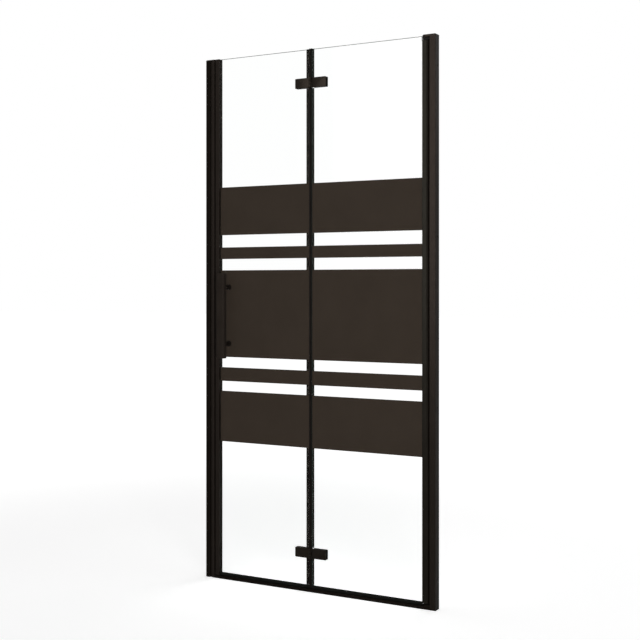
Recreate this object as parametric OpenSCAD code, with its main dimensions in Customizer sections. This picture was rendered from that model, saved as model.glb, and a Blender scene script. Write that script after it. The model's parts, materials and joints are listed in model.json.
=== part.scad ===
// Bifold shower door: two clear glass panels hung between two wall channels.
// The right panel turns on pins in the frame and the left one hangs on it by two clamp hinges.
// The origin is the middle of the threshold's underside. +X runs to the right along the
// closed door, -Y faces the room, +Y faces the shower and +Z is up.

/* [Overall] */
// Width between the two walls
door_w = 890; // [780:5:1000]
// Height of the frame
door_h = 1850; // [1700:10:2100]
// Depth of the frame, from the room side to the shower side
frame_d = 30; // [28:1:36]

/* [Wall channels] */
// Wall thickness of both channels
channel_wall = 1.8; // [1.5:0.1:2.2]
// Front width of the left channel
strike_channel_w = 17.5; // [16:0.5:22]
// Front width of the right channel
hinge_channel_w = 20.5; // [18:0.5:24]
// Clearance of a jamb that slides in a channel
slide_gap = 0.3; // [0.2:0.1:0.5]
// Diameter of the wall-screw holes
wall_hole_d = 5.5; // [4:0.5:7]
// Distance between two wall-screw holes
wall_hole_pitch = 550; // [400:10:560]
// Height of the lowest wall-screw hole
wall_hole_z = 100; // [60:5:140]
// Height of the lowest jamb screw
fix_low_z = 150; // [60:5:300]

/* [Strike jamb] */
// Wall thickness of the jambs
jamb_wall = 1.6; // [1.4:0.1:1.8]
// Width of the recess between the channel and the jamb's nose
recess_w = 8.5; // [5:0.5:12]
// Depth of that recess, measured from the room face
recess_d = 4.5; // [4:0.5:6]
// Width of the jamb's nose
nose_w = 9.5; // [9:0.5:14]
// Thickness of the left end cap
end_cap_t = 4; // [2:0.5:6]

/* [Magnet strips] */
// Height by which a magnet strip stands out of its profile
strip_stand = 0.65; // [0.4:0.05:0.9]
// Gap between the two closed magnet strips
magnet_gap = 0.7; // [0.6:0.1:1]
// Depth of the slot that holds a magnet strip
slot_d = 3.2; // [2.8:0.1:3.6]
// Width of that slot's mouth
slot_mouth = 6; // [4:0.5:6.5]
// Width of that slot behind its lips
slot_wide = 9; // [8:0.5:10]

/* [Closing profile] */
// Front width of the closing profile
edge_w = 17; // [16:0.5:24]
// Depth of the closing profile
edge_d = 24; // [18:1:24]
// Thickness of its end caps
edge_cap_t = 1.5; // [1:0.25:3]

/* [Pivot side] */
// Distance from the right wall to the pivot axis
pivot_inset = 35.5; // [33:0.5:40]
// Radius of the stile's round back
stile_r = 9; // [8.5:0.5:9.5]
// Distance from the pivot axis to the stile's left shoulder
stile_front = 9; // [7:0.5:10]
// Gap between the stile's back and the hinge jamb
stile_gap = 1.5; // [1.2:0.1:2]
// Depth of the groove between the stile and the right channel
groove_d = 6; // [3:0.5:7]
// Wall of the stile between the glass pocket and the plug chamber
stile_web = 1; // [0.8:0.1:1.2]
// Diameter of the stile's plugs
plug_d = 8; // [7.5:0.1:8.4]
// Length of the stile's plugs
plug_l = 25; // [15:1:40]
// Thickness of the end plate on each plug
plug_head_t = 1.7; // [1.2:0.1:2]
// Diameter of the pivot pins
pivot_pin_d = 5; // [4:0.5:6]
// Length of pivot pin inside the stile
pivot_pin_reach = 22; // [12:1:30]
// Thickness of the plate on the top pivot block
top_plate_t = 7.5; // [5:0.5:10]
// Height between the top of the stile and that plate
top_gap_h = 9.5; // [8:0.5:12]
// Height of the bottom pivot foot
foot_h = 16; // [15.5:0.5:18]
// Thickness of the thrust washer on the foot
washer_t = 1; // [0.6:0.1:1.5]

/* [Glass] */
// Thickness of the glass
glass_t = 6; // [5:1:6]
// Distance from the top of the frame to the top of the glass
glass_drop = 2; // [1.5:0.5:6]
// Height of the bottom edge of the glass
glass_z = 15; // [14:0.5:18]
// Depth of the glass inside a profile
glass_bite = 10; // [8:0.5:10.5]
// Gap between the two panes at the fold
fold_gap = 10; // [9:0.5:12]
// Distance of the fold axis left of the middle of the door
fold_offset = 19; // [0:1:40]
// Distance by which the gap between the panes lies left of that axis
gap_shift = 2; // [0:0.5:3]
// Thickness of the glazing gasket on each face
gasket_t = 1; // [0.8:0.1:1.2]

/* [Privacy bands] */
// Height of the centre band
centre_band_h = 308; // [240:2:320]
// Height of the upper thin band
upper_thin_h = 41.5; // [20:0.5:60]
// Height of the lower thin band
lower_thin_h = 49; // [20:0.5:60]
// Height of the upper outer band
upper_outer_h = 170; // [100:1:220]
// Height of the lower outer band
lower_outer_h = 180; // [100:1:220]
// Clear stripe between the centre band and the upper thin band
upper_inner_stripe = 40; // [20:0.5:60]
// Clear stripe between the centre band and the lower thin band
lower_inner_stripe = 36.5; // [20:0.5:60]
// Clear stripe between the upper thin and outer bands
upper_outer_stripe = 43.5; // [20:0.5:60]
// Clear stripe between the lower thin and outer bands
lower_outer_stripe = 35; // [20:0.5:60]
// Height of the middle of the centre band
band_centre_z = 942; // [900:1:980]
// Thickness of the printed layer
band_t = 0.25; // [0.2:0.05:0.4]

/* [Fold hinges] */
// Length of a hinge leaf from the fold axis
leaf_l = 60; // [52:1:70]
// Height of a hinge
leaf_h = 34; // [24:1:40]
// Thickness of the front leaf
leaf_t = 5.2; // [4.8:0.1:6]
// Thickness of the back plate
back_plate_t = 5; // [4:0.5:7]
// Thickness of the gaskets that clamp the glass
pad_t = 1.2; // [0.8:0.1:2]
// Diameter of the knuckles
knuckle_d = 10; // [9:0.5:10.4]
// Diameter of the hinge pins
hinge_pin_d = 5; // [4:0.5:6]
// Distance from the top of the frame to the middle of the upper hinge
hinge_drop = 117; // [80:1:300]
// Height of the middle of the lower hinge
hinge_z = 130; // [80:1:300]
// Distance from the fold axis to the first clamp screw
clamp_x = 22; // [20:1:26]
// Distance between a leaf's two clamp screws
clamp_pitch = 24; // [18:1:26]
// Diameter of the clamp screws
clamp_screw_d = 5; // [4:0.5:6]
// Diameter of the holes in the glass
glass_hole_d = 12; // [10:0.5:14]

/* [Handle] */
// Length of the handle bar
handle_l = 300; // [240:5:600]
// Width of the handle bar
handle_w = 31; // [24:1:36]
// Thickness of the handle bar
handle_t = 20; // [14:1:24]
// Distance from the glass to the front of the bar
handle_reach = 57; // [50:1:75]
// Distance between the two posts
post_pitch = 200; // [120:5:220]
// Diameter of a post
post_d = 14; // [12:1:18]
// Diameter of a post's foot and of the inner cap nut
post_foot_d = 20; // [18:1:24]
// Height of the middle of the handle
handle_z = 936; // [800:1:1100]
// Distance from the panel's leading edge to the middle of the handle
handle_inset = 52.5; // [48:0.5:80]
// Diameter of the studs through the glass
stud_d = 6; // [5:0.5:8]
// Height of the inner cap nuts
cap_nut_h = 8; // [6:0.5:12]

/* [Threshold and seals] */
// Height of the threshold
threshold_h = 10; // [8:0.5:10]
// Wall thickness of the threshold
threshold_wall = 1.5; // [1.2:0.1:2]
// Height of the bottom seal's clip above the glass edge
drip_clip_h = 5.5; // [4:0.5:10]
// Gap between the threshold and the bottom seals
drip_gap = 0.6; // [0.5:0.1:1]
// Thickness of a seal's clip legs
clip_t = 1.2; // [0.8:0.1:1.3]
// Reach of the fold panel's centre seal over the shower face of the glass
fold_clip_l = 14; // [8:0.5:16]
// Reach of the pivot panel's centre seal over the shower face of the glass
pivot_clip_l = 7; // [4:0.5:10]
// Reach of both centre seals over the room face of the glass
room_clip_l = 1; // [0.5:0.5:4]
// Width of the hollow nose on the fold panel's centre seal
seal_nose_w = 4.2; // [3.6:0.1:4.6]

/* [Hidden] */
$fn = 48;
eps = 0.01;

// Fits
pin_fit = 0.04;
hole_fit = 0.05;
seat_gap = 0.3;

// Colours
powder_black = "#2c2926";
seal_black = "#1b1918";
band_brown = "#382e2a";
glass_tint = [0.82, 0.90, 0.88, 0.35];
nylon_black = "#24211f";
bright_steel = "#b9bcbe";

// Frame lines
left_x = -door_w / 2;
right_x = door_w / 2;
half_d = frame_d / 2;
channel_in = half_d - channel_wall;
leg_out = channel_in - slide_gap;
leg_in = leg_out - jamb_wall;
leg_clear = 1;
left_top_z = door_h - glass_drop - end_cap_t;
right_top_z = door_h - top_plate_t;

// Strike side, from the wall inwards
strike_lip_x = left_x + strike_channel_w;
jamb_overlap = 2;
neck_x = strike_lip_x - jamb_overlap;
nose_x = strike_lip_x + recess_w;
jamb_face_x = nose_x + nose_w;
neck_out = half_d - recess_d;
left_fix_x = (left_x + channel_wall + neck_x) / 2;

// Closing profile
edge_x = jamb_face_x + 2 * strip_stand + magnet_gap;
edge_in_x = edge_x + edge_w;
fold_glass_l = edge_in_x - glass_bite;
pocket_half = glass_t / 2 + gasket_t;
gasket_web = 0.5;
slot_lip = 1.2;
strip_fit = 0.1;
strip_cover = slot_wide + 3;

// Pivot side
pivot_x = right_x - pivot_inset;
hinge_lip_x = right_x - hinge_channel_w;
pocket_end_x = pivot_x - plug_d / 2 - stile_web;
pivot_glass_r = pocket_end_x - gasket_web;
stile_lip_x = pivot_glass_r - glass_bite;
stile_lip_t = 1.5;
hinge_jamb_x = pivot_x + stile_r + stile_gap;
hinge_leg_x = right_x - channel_wall - 2;
jamb_step_x = hinge_lip_x + 1;
tongue_x = jamb_step_x + jamb_wall + seat_gap;
groove_half = half_d - groove_d;
right_fix_x = right_x - channel_wall - (hinge_channel_w - channel_wall) / 2;
stile_z = foot_h + washer_t + seat_gap + plug_head_t;
stile_top_z = right_top_z - top_gap_h;
boss_h = top_gap_h - plug_head_t - seat_gap;
boss_r = half_d - 1;
boss_half = boss_r - 5;
thrust_washer_d = 14;
pin_seat = 5.5;
foot_bore = 12;
foot_bore_z = foot_h - foot_bore;
tongue_h = 30;
turn_gap = 1.5;
notch_x = min(pivot_x - half_d - turn_gap, stile_lip_x - 1);

// Glass and fold
glass_half = glass_t / 2;
glass_top_z = door_h - glass_drop;
fold_x = -fold_offset;
fold_glass_r = fold_x - gap_shift - fold_gap / 2;
pivot_glass_l = fold_x - gap_shift + fold_gap / 2;
leaf_set = 0.1;
fold_y = -(glass_half + pad_t + leaf_t + leaf_set);
hinge_heights = [hinge_z, door_h - hinge_drop];
knuckle_gap = 0.1;
knuckle_relief = 0.5;
clamp_head_d = clamp_screw_d * 1.9;
clamp_head_h = (clamp_head_d - clamp_screw_d) / 2;
clamp_head_sink = 0.2;
clamp_bore_y = leaf_set + leaf_t * 0.35;

// Fixing screws through the channels' shower side
fix_screw_d = 3.5;
fix_screw_l = 9;
fix_head_d = 7;
fix_head_h = 2.2;
fix_heights = [fix_low_z, door_h / 2, door_h - fix_low_z];
foot_fix_z = foot_h / 2;
tongue_fix_z = right_top_z - tongue_h / 2;

// Handle
handle_x = edge_x + handle_inset;
post_heights = [handle_z - post_pitch / 2, handle_z + post_pitch / 2];
bar_front_y = -glass_half - handle_reach;
bar_back_y = bar_front_y + handle_t;
handle_washer_t = 0.8;
handle_washer_d = post_foot_d + 0.6;
post_foot_t = 3;
stud_seat = 8;

// Seals
drip_z = threshold_h + drip_gap;
drip_web = 1.5;
drip_top_z = glass_z + drip_clip_h;
clip_out = glass_half + clip_t;
bulb_r = clip_out;
bulb_gap = 0.5;
bulb_wall = 1;
bulb_x = fold_glass_r + seal_nose_w + bulb_gap + bulb_r;
seal_break = leaf_h / 2 + 1;
band_seat = 0.5;
cap_rise = 0.6;

// Straight block between two corners
module block(x0, x1, y0, y1, z0, z1) {
    translate([x0, y0, z0]) cube([x1 - x0, y1 - y0, z1 - z0]);
}

// Flat rectangle between two corners
module rect(x0, x1, y0, y1) {
    translate([x0, y0]) square([x1 - x0, y1 - y0]);
}

// Flat rectangle with round corners
module soft_rect(x0, x1, y0, y1, r) {
    rect(x0 + r, x1 - r, y0, y1);
    rect(x0, x1, y0 + r, y1 - r);
    for (x = [x0 + r, x1 - r], y = [y0 + r, y1 - r])
        translate([x, y]) circle(r = r);
}

// Both mirror images of a shape across the door's middle plane
module both_faces() {
    children();
    mirror([0, 1, 0]) children();
}

// Extrusion along Z between two heights
module upright(z0, z1) {
    translate([0, 0, z0]) linear_extrude(height = z1 - z0) children();
}

// Extrusion along X of an outline drawn in Y and Z
module along(x0, x1) {
    translate([x0, 0, 0]) rotate([90, 0, 90]) linear_extrude(height = x1 - x0) children();
}

// Round bar along Y
module y_rod(x, z, y0, y1, d) {
    translate([x, y0, z]) rotate([-90, 0, 0]) cylinder(d = d, h = y1 - y0);
}

// Round bar along X
module x_rod(y, z, x0, x1, d) {
    translate([x0, y, z]) rotate([0, 90, 0]) cylinder(d = d, h = x1 - x0);
}

// ---- Frame ----

// U section against a wall, open towards the door
module channel_section(w) {
    difference() {
        soft_rect(0, w, -half_d, half_d, 0.6);
        rect(channel_wall, w + eps, -channel_in, channel_in);
    }
}

module wall_holes(x0, x1) {
    for (z = [wall_hole_z, wall_hole_z + wall_hole_pitch,
              door_h - wall_hole_z - wall_hole_pitch, door_h - wall_hole_z])
        x_rod(0, z, x0, x1, wall_hole_d);
}

// Clearance holes of the fixing screws, through the shower side of a profile
module fix_holes(x, heights) {
    for (z = heights)
        y_rod(x, z, half_d - fix_screw_l - 1, half_d + eps, fix_screw_d + 2 * hole_fit);
}

module wall_channel_left() {
    color(powder_black) difference() {
        upright(0, left_top_z) translate([left_x, 0]) channel_section(strike_channel_w);
        wall_holes(left_x - eps, left_x + channel_wall + eps);
        fix_holes(left_fix_x, fix_heights);
    }
}

module wall_channel_right() {
    color(powder_black) difference() {
        upright(0, right_top_z) translate([right_x, 0]) mirror([1, 0]) channel_section(hinge_channel_w);
        wall_holes(right_x - channel_wall - eps, right_x + eps);
        fix_holes(right_fix_x, concat(fix_heights, [foot_fix_z, tongue_fix_z]));
    }
}

// T slot for a magnet strip, open on the line x = 0 and cut towards +X
module strip_slot() {
    rect(-eps, slot_lip + eps, -slot_mouth / 2, slot_mouth / 2);
    rect(slot_lip, slot_d, -slot_wide / 2, slot_wide / 2);
}

// The strip itself, with a cover that stands out of the slot towards -X
module strip_section() {
    rect(-strip_stand, slot_d - strip_fit, -slot_mouth / 2 + strip_fit, slot_mouth / 2 - strip_fit);
    rect(slot_lip + strip_fit, slot_d - strip_fit, -slot_wide / 2 + strip_fit, slot_wide / 2 - strip_fit);
    rect(-strip_stand, 0, -strip_cover / 2, strip_cover / 2);
}

// Two legs slide in the channel, a hollow neck crosses the recess, a nose carries the magnet strip
module strike_jamb_section() {
    difference() {
        union() {
            rect(left_x + channel_wall + leg_clear, neck_x, -leg_out, leg_out);
            rect(neck_x - eps, nose_x + eps, -neck_out, neck_out);
            soft_rect(nose_x, jamb_face_x, -half_d, half_d, 0.8);
        }
        rect(left_x, neck_x - jamb_wall, -leg_in, leg_in);
        rect(neck_x - jamb_wall - eps, nose_x - jamb_wall, -neck_out + jamb_wall, neck_out - jamb_wall);
        both_faces()
            rect(nose_x + jamb_wall, jamb_face_x - jamb_wall, slot_wide / 2 + jamb_wall, half_d - jamb_wall);
        rect(nose_x + jamb_wall, jamb_face_x - slot_d - jamb_wall, -slot_wide / 2, slot_wide / 2);
        translate([jamb_face_x, 0]) mirror([1, 0]) strip_slot();
    }
}

module strike_jamb() {
    color(powder_black) difference() {
        upright(0, left_top_z) strike_jamb_section();
        fix_holes(left_fix_x, fix_heights);
    }
}

module jamb_magnet_strip() {
    color(seal_black) upright(threshold_h + 1, left_top_z)
        translate([jamb_face_x, 0]) mirror([1, 0]) strip_section();
}

// Cap plate with a rounded outer corner and a lug in the jamb's neck
module strike_end_cap() {
    corner = end_cap_t - 1;
    color(powder_black) {
        translate([0, half_d, left_top_z]) rotate([90, 0, 0]) linear_extrude(height = frame_d) {
            rect(left_x + corner, jamb_face_x, 0, end_cap_t);
            rect(left_x, jamb_face_x, 0, end_cap_t - corner);
            intersection() {
                translate([left_x + corner, end_cap_t - corner]) circle(r = corner);
                rect(left_x, left_x + corner + eps, end_cap_t - corner - eps, end_cap_t);
            }
        }
        block(neck_x + seat_gap, nose_x - jamb_wall - seat_gap,
              -neck_out + jamb_wall + seat_gap, neck_out - jamb_wall - seat_gap,
              left_top_z - 8, left_top_z + eps);
    }
}

// Depth of the slot that holds the bulb seal, and its half widths
bulb_slot_d = 2.8;
bulb_mouth = 2.2;
bulb_slot_half = 3.5;

// A hollow neck forms the groove beside the stile, and two legs slide in the channel
module hinge_jamb_section() {
    slot_x = hinge_jamb_x + slot_lip;
    difference() {
        union() {
            rect(hinge_jamb_x, jamb_step_x + eps, -groove_half, groove_half);
            rect(jamb_step_x, hinge_leg_x, -leg_out, leg_out);
        }
        difference() {
            union() {
                rect(hinge_jamb_x + jamb_wall, jamb_step_x + jamb_wall + eps,
                     -groove_half + jamb_wall, groove_half - jamb_wall);
                rect(jamb_step_x + jamb_wall, hinge_leg_x + eps, -leg_in, leg_in);
            }
            rect(hinge_jamb_x, slot_x + bulb_slot_d + jamb_wall,
                 -bulb_slot_half - jamb_wall, bulb_slot_half + jamb_wall);
        }
        rect(hinge_jamb_x - eps, slot_x + eps, -bulb_mouth, bulb_mouth);
        rect(slot_x, slot_x + bulb_slot_d, -bulb_slot_half, bulb_slot_half);
    }
}

module hinge_jamb() {
    color(powder_black) difference() {
        upright(foot_h, right_top_z) hinge_jamb_section();
        fix_holes(right_fix_x, concat(fix_heights, [tongue_fix_z]));
    }
}

// Soft bulb that closes the running gap behind the stile
module jamb_bulb_seal() {
    slot_x = hinge_jamb_x + slot_lip;
    bulb = stile_gap - seat_gap;
    color(seal_black) upright(stile_z, stile_top_z) {
        rect(slot_x + strip_fit, slot_x + bulb_slot_d - strip_fit,
             -bulb_slot_half + strip_fit, bulb_slot_half - strip_fit);
        rect(hinge_jamb_x - eps, slot_x + strip_fit + eps, -bulb_mouth + strip_fit, bulb_mouth - strip_fit);
        intersection() {
            translate([hinge_jamb_x + bulb_mouth - strip_fit - bulb, 0]) circle(r = bulb_mouth - strip_fit);
            rect(hinge_jamb_x - bulb - 1, hinge_jamb_x + eps, -bulb_mouth, bulb_mouth);
        }
    }
}

// Outline of the threshold across the door, hollow and flat underneath
module threshold_outline() {
    round_r = threshold_h * 0.3;
    soft_rect(-half_d + 2, half_d - 2, 0, threshold_h, round_r);
    soft_rect(-half_d, half_d, 0, threshold_h - 2, round_r);
    rect(-half_d, half_d, 0, round_r);
}

module threshold_section() {
    inner_top = threshold_h - 2 - threshold_wall;
    difference() {
        threshold_outline();
        both_faces()
            rect(threshold_wall / 2, half_d - threshold_wall, threshold_wall, inner_top);
    }
}

threshold_end_w = 4;
threshold_x = jamb_face_x + threshold_end_w;

// The rail is coped round the foot
module threshold() {
    color(powder_black) difference() {
        along(threshold_x, pivot_x) threshold_section();
        translate([pivot_x, 0, -eps]) cylinder(r = half_d, h = foot_h);
    }
}

module threshold_end_seal() {
    color(seal_black) along(jamb_face_x, threshold_x) threshold_outline();
}

// Plan of the pivot castings: a round end about the pivot axis and a straight body
module pivot_plan(x1) {
    translate([pivot_x, 0]) circle(r = half_d);
    rect(pivot_x, x1, -half_d, half_d);
}

// Cap plate with a flat-sided bearing boss over the stile and a tongue in the hinge jamb
module top_pivot_block() {
    color(powder_black) difference() {
        union() {
            upright(right_top_z, door_h) pivot_plan(right_x);
            upright(right_top_z - boss_h, right_top_z + eps) intersection() {
                translate([pivot_x, 0]) circle(r = boss_r);
                rect(pivot_x - boss_r, hinge_jamb_x - seat_gap, -boss_half, boss_half);
            }
            block(tongue_x, hinge_leg_x, -leg_in + seat_gap, leg_in - seat_gap,
                  right_top_z - tongue_h, right_top_z + eps);
        }
        translate([pivot_x, 0, right_top_z - boss_h - eps])
            cylinder(d = pivot_pin_d + 2 * pin_fit, h = boss_h + pin_seat + eps);
        fix_holes(right_fix_x, [tongue_fix_z]);
    }
}

// Foot with a domed round end, seated in the channel
module bottom_pivot_foot() {
    dome_r = 4;
    color(powder_black) difference() {
        union() {
            translate([pivot_x, 0, 0]) rotate_extrude() {
                rect(0, half_d, 0, foot_h - dome_r);
                rect(0, half_d - dome_r, 0, foot_h);
                intersection() {
                    translate([half_d - dome_r, foot_h - dome_r]) circle(r = dome_r);
                    rect(half_d - dome_r - eps, half_d, foot_h - dome_r - eps, foot_h);
                }
            }
            along(pivot_x, hinge_lip_x) {
                rect(-half_d, half_d, 0, foot_h - dome_r);
                rect(-half_d + dome_r, half_d - dome_r, 0, foot_h);
                for (y = [-half_d + dome_r, half_d - dome_r])
                    translate([y, foot_h - dome_r]) circle(r = dome_r);
            }
            block(hinge_lip_x - eps, right_x - channel_wall, -channel_in, channel_in, 0, foot_h);
        }
        translate([pivot_x, 0, foot_bore_z])
            cylinder(d = pivot_pin_d + 2 * pin_fit, h = foot_h);
        fix_holes(right_fix_x, [foot_fix_z]);
    }
}

module top_pivot_pin() {
    color(bright_steel) translate([pivot_x, 0, stile_top_z - pivot_pin_reach])
        cylinder(d = pivot_pin_d, h = pivot_pin_reach + top_gap_h + pin_seat - seat_gap);
}

module bottom_pivot_pin() {
    color(bright_steel) translate([pivot_x, 0, foot_bore_z])
        cylinder(d = pivot_pin_d, h = stile_z + pivot_pin_reach - foot_bore_z);
}

module thrust_washer() {
    color(nylon_black) translate([pivot_x, 0, foot_h]) difference() {
        cylinder(d = thrust_washer_d, h = washer_t);
        translate([0, 0, -eps]) cylinder(d = pivot_pin_d + 2 * pin_fit, h = washer_t + 2 * eps);
    }
}

// Pan-head screw driven from the shower side
module fixing_screw() {
    translate([0, half_d, 0]) rotate([-90, 0, 0]) {
        cylinder(d = fix_head_d, h = fix_head_h);
        translate([0, 0, -fix_screw_l]) cylinder(d = fix_screw_d, h = fix_screw_l + eps);
    }
}

// Domed cap over a screw head
module screw_cover_cap() {
    wall = 1.2;
    cap_r = fix_head_d / 2 + wall;
    cap_h = fix_head_h + wall;
    translate([0, half_d, 0]) rotate([-90, 0, 0]) difference() {
        rotate_extrude() {
            rect(0, cap_r, 0, cap_h - wall);
            rect(0, cap_r - wall, 0, cap_h);
            translate([cap_r - wall, cap_h - wall]) intersection() {
                circle(r = wall);
                rect(-eps, wall, -eps, wall);
            }
        }
        translate([0, 0, -eps]) cylinder(d = fix_head_d + 2 * hole_fit, h = fix_head_h + hole_fit + eps);
    }
}

module at_fixings() {
    for (z = fix_heights) {
        translate([left_fix_x, 0, z]) children();
        translate([right_fix_x, 0, z]) children();
    }
    for (z = [foot_fix_z, tongue_fix_z])
        translate([right_fix_x, 0, z]) children();
}

module fixing_screws() {
    color(bright_steel) at_fixings() fixing_screw();
}

module screw_cover_caps() {
    color(powder_black) at_fixings() screw_cover_cap();
}

// ---- Pivot panel ----

// Outline of the round-backed stile with its two glazing lips
module stile_outline() {
    translate([pivot_x, 0]) circle(r = stile_r);
    rect(pivot_x - stile_front, pivot_x, -stile_r, stile_r);
    soft_rect(stile_lip_x, pivot_x, -pocket_half - stile_lip_t, pocket_half + stile_lip_t, 0.7);
}

// The same with a glazing pocket, a plug chamber and two hollow cells
module stile_section() {
    cell_gap = 1.4;
    difference() {
        stile_outline();
        rect(stile_lip_x - eps, pocket_end_x, -pocket_half, pocket_half);
        translate([pivot_x, 0]) circle(d = plug_d);
        both_faces()
            rect(pivot_x - stile_front + cell_gap, pivot_x - plug_d / 2 + 1,
                 pocket_half + cell_gap, stile_r - cell_gap);
    }
}

module pivot_stile() {
    color(powder_black) upright(stile_z, stile_top_z) stile_section();
}

// Plug with an end plate that covers the stile's end at z = 0, and a bore for the pivot pin
module stile_plug() {
    difference() {
        union() {
            translate([pivot_x, 0, 0]) cylinder(d = plug_d - 2 * pin_fit, h = plug_l);
            upright(-plug_head_t, 0) stile_outline();
        }
        translate([pivot_x, 0, -plug_head_t - eps])
            cylinder(d = pivot_pin_d + 2 * pin_fit, h = plug_l + plug_head_t + 2 * eps);
    }
}

module stile_plugs() {
    color(nylon_black) {
        translate([0, 0, stile_z]) stile_plug();
        translate([0, 0, stile_top_z]) mirror([0, 0, 1]) stile_plug();
    }
}

// U gasket over a glass edge, drawn with the edge at x = 0
module glazing_section(depth) {
    difference() {
        rect(-gasket_web, depth, -pocket_half, pocket_half);
        rect(0, depth + eps, -glass_half, glass_half);
    }
}

module stile_gasket() {
    color(seal_black) upright(stile_z, stile_top_z)
        translate([pivot_glass_r, 0]) mirror([1, 0]) glazing_section(glass_bite);
}

// Every hole that a panel's hinges need in its glass
module clamp_holes(side) {
    for (z = hinge_heights, n = [0, 1])
        y_rod(fold_x + side * (clamp_x + n * clamp_pitch), z, -glass_half - 1, glass_half + 1, glass_hole_d);
}

module pivot_glass() {
    color(glass_tint) difference() {
        union() {
            block(pivot_glass_l, notch_x, -glass_half, glass_half, glass_z, glass_top_z);
            block(notch_x - eps, pivot_glass_r, -glass_half, glass_half, stile_z, stile_top_z);
        }
        clamp_holes(1);
    }
}

// Lowest and highest edge of each band, from the lowest band up
centre_low = band_centre_z - centre_band_h / 2;
centre_high = band_centre_z + centre_band_h / 2;
lower_thin_top = centre_low - lower_inner_stripe;
lower_outer_top = lower_thin_top - lower_thin_h - lower_outer_stripe;
upper_thin_z = centre_high + upper_inner_stripe;
upper_outer_z = upper_thin_z + upper_thin_h + upper_outer_stripe;
band_edges = [
    [lower_outer_top - lower_outer_h, lower_outer_top],
    [lower_thin_top - lower_thin_h, lower_thin_top],
    [centre_low, centre_high],
    [upper_thin_z, upper_thin_z + upper_thin_h],
    [upper_outer_z, upper_outer_z + upper_outer_h]
];

module privacy_bands(x0, x1) {
    for (edge = band_edges)
        block(x0, x1, -glass_half - band_t, -glass_half, edge[0], edge[1]);
}

module pivot_privacy_bands() {
    color(band_brown) privacy_bands(pivot_glass_l + room_clip_l + band_seat, stile_lip_x - band_seat);
}

// Clip under the glass with two blades and a drip lip that leans into the shower
module drip_section() {
    blade = 0.9;
    lip_y = clip_out + 4.5;
    web_z = glass_z - drip_web;
    polygon([
        [-clip_out, drip_z], [-clip_out, drip_top_z],
        [-glass_half, drip_top_z], [-glass_half, glass_z], [glass_half, glass_z], [glass_half, drip_top_z],
        [clip_out, drip_top_z], [clip_out, glass_z],
        [lip_y, drip_z + blade], [lip_y, drip_z], [glass_half, web_z],
        [blade / 2, web_z], [blade / 2, drip_z], [-blade / 2, drip_z], [-blade / 2, web_z],
        [-clip_out + blade, web_z], [-clip_out + blade, drip_z]
    ]);
}

module pivot_bottom_seal() {
    color(seal_black) along(pivot_glass_l + seat_gap, notch_x - seat_gap) drip_section();
}

// Clip legs of a centre seal below, between and above the hinges, from the pane's edge at edge_at
module seal_legs(edge_at, side, reach) {
    starts = [drip_top_z + seat_gap, hinge_heights[0] + seal_break, hinge_heights[1] + seal_break];
    ends = [hinge_heights[0] - seal_break, hinge_heights[1] - seal_break, door_h];
    translate([edge_at, 0, 0]) mirror([side < 0 ? 1 : 0, 0, 0]) for (n = [0:2]) upright(starts[n], ends[n]) {
        rect(-eps, room_clip_l, -clip_out, -glass_half);
        rect(-eps, reach, glass_half, clip_out);
    }
}

// Right half of the centre seal: clip legs on a hollow bulb that fills the fold
module pivot_centre_seal() {
    color(seal_black) {
        upright(drip_z, door_h) difference() {
            intersection() {
                union() {
                    rect(bulb_x, pivot_glass_l, -clip_out, clip_out);
                    translate([bulb_x, 0]) circle(r = bulb_r);
                }
                rect(fold_glass_r, pivot_glass_l, -clip_out, clip_out);
            }
            intersection() {
                translate([bulb_x, 0]) circle(r = bulb_r - bulb_wall);
                rect(fold_glass_r, pivot_glass_l - bulb_wall, -clip_out, clip_out);
            }
        }
        seal_legs(pivot_glass_l, 1, pivot_clip_l);
    }
}

// ---- Fold hinges ----
// Drawn about the fold axis, with the leaf towards +X and the glass towards +Y

// Round corners on the far end of a plate, drawn in X and Z
module plate_outline(x0) {
    r = 2.5;
    half = leaf_h / 2;
    rect(x0, leaf_l - r, -half, half);
    rect(x0, leaf_l, -half + r, half - r);
    for (z = [-half + r, half - r])
        translate([leaf_l - r, z]) circle(r = r);
}

// Plate of a given thickness starting at y0
module plate(x0, y0, t) {
    translate([0, y0 + t, 0]) rotate([90, 0, 0]) linear_extrude(height = t) plate_outline(x0);
}

module at_clamps() {
    for (n = [0, 1]) translate([clamp_x + n * clamp_pitch, 0, 0]) children();
}

// One knuckle with the web that joins it to its plate
module knuckle(z0, z1) {
    knuckle_r = knuckle_d / 2;
    translate([0, 0, z0]) cylinder(d = knuckle_d, h = z1 - z0);
    block(0, knuckle_r + knuckle_relief + 1, leaf_set, knuckle_r - leaf_set, z0, z1);
}

// Front leaf: plate, knuckles at the given levels, blind screw holes from behind
module leaf(levels) {
    plate_x = knuckle_d / 2 + knuckle_relief;
    difference() {
        union() {
            plate(plate_x, leaf_set, leaf_t);
            for (level = levels) knuckle(level[0], level[1]);
        }
        translate([0, 0, -leaf_h]) cylinder(d = hinge_pin_d + 2 * pin_fit, h = 2 * leaf_h);
        at_clamps() y_rod(0, 0, clamp_bore_y, leaf_set + leaf_t + eps, clamp_screw_d + 2 * hole_fit);
    }
}

third = leaf_h / 6;
middle_level = [[-third + knuckle_gap, third - knuckle_gap]];
outer_levels = [[-leaf_h / 2, -third - knuckle_gap], [third + knuckle_gap, leaf_h / 2]];

// Local heights of the clamp's layers, from the fold axis into the shower
glass_face = pad_t + leaf_t + leaf_set;
pad_x = fold_gap / 2 + gap_shift + 1;

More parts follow.
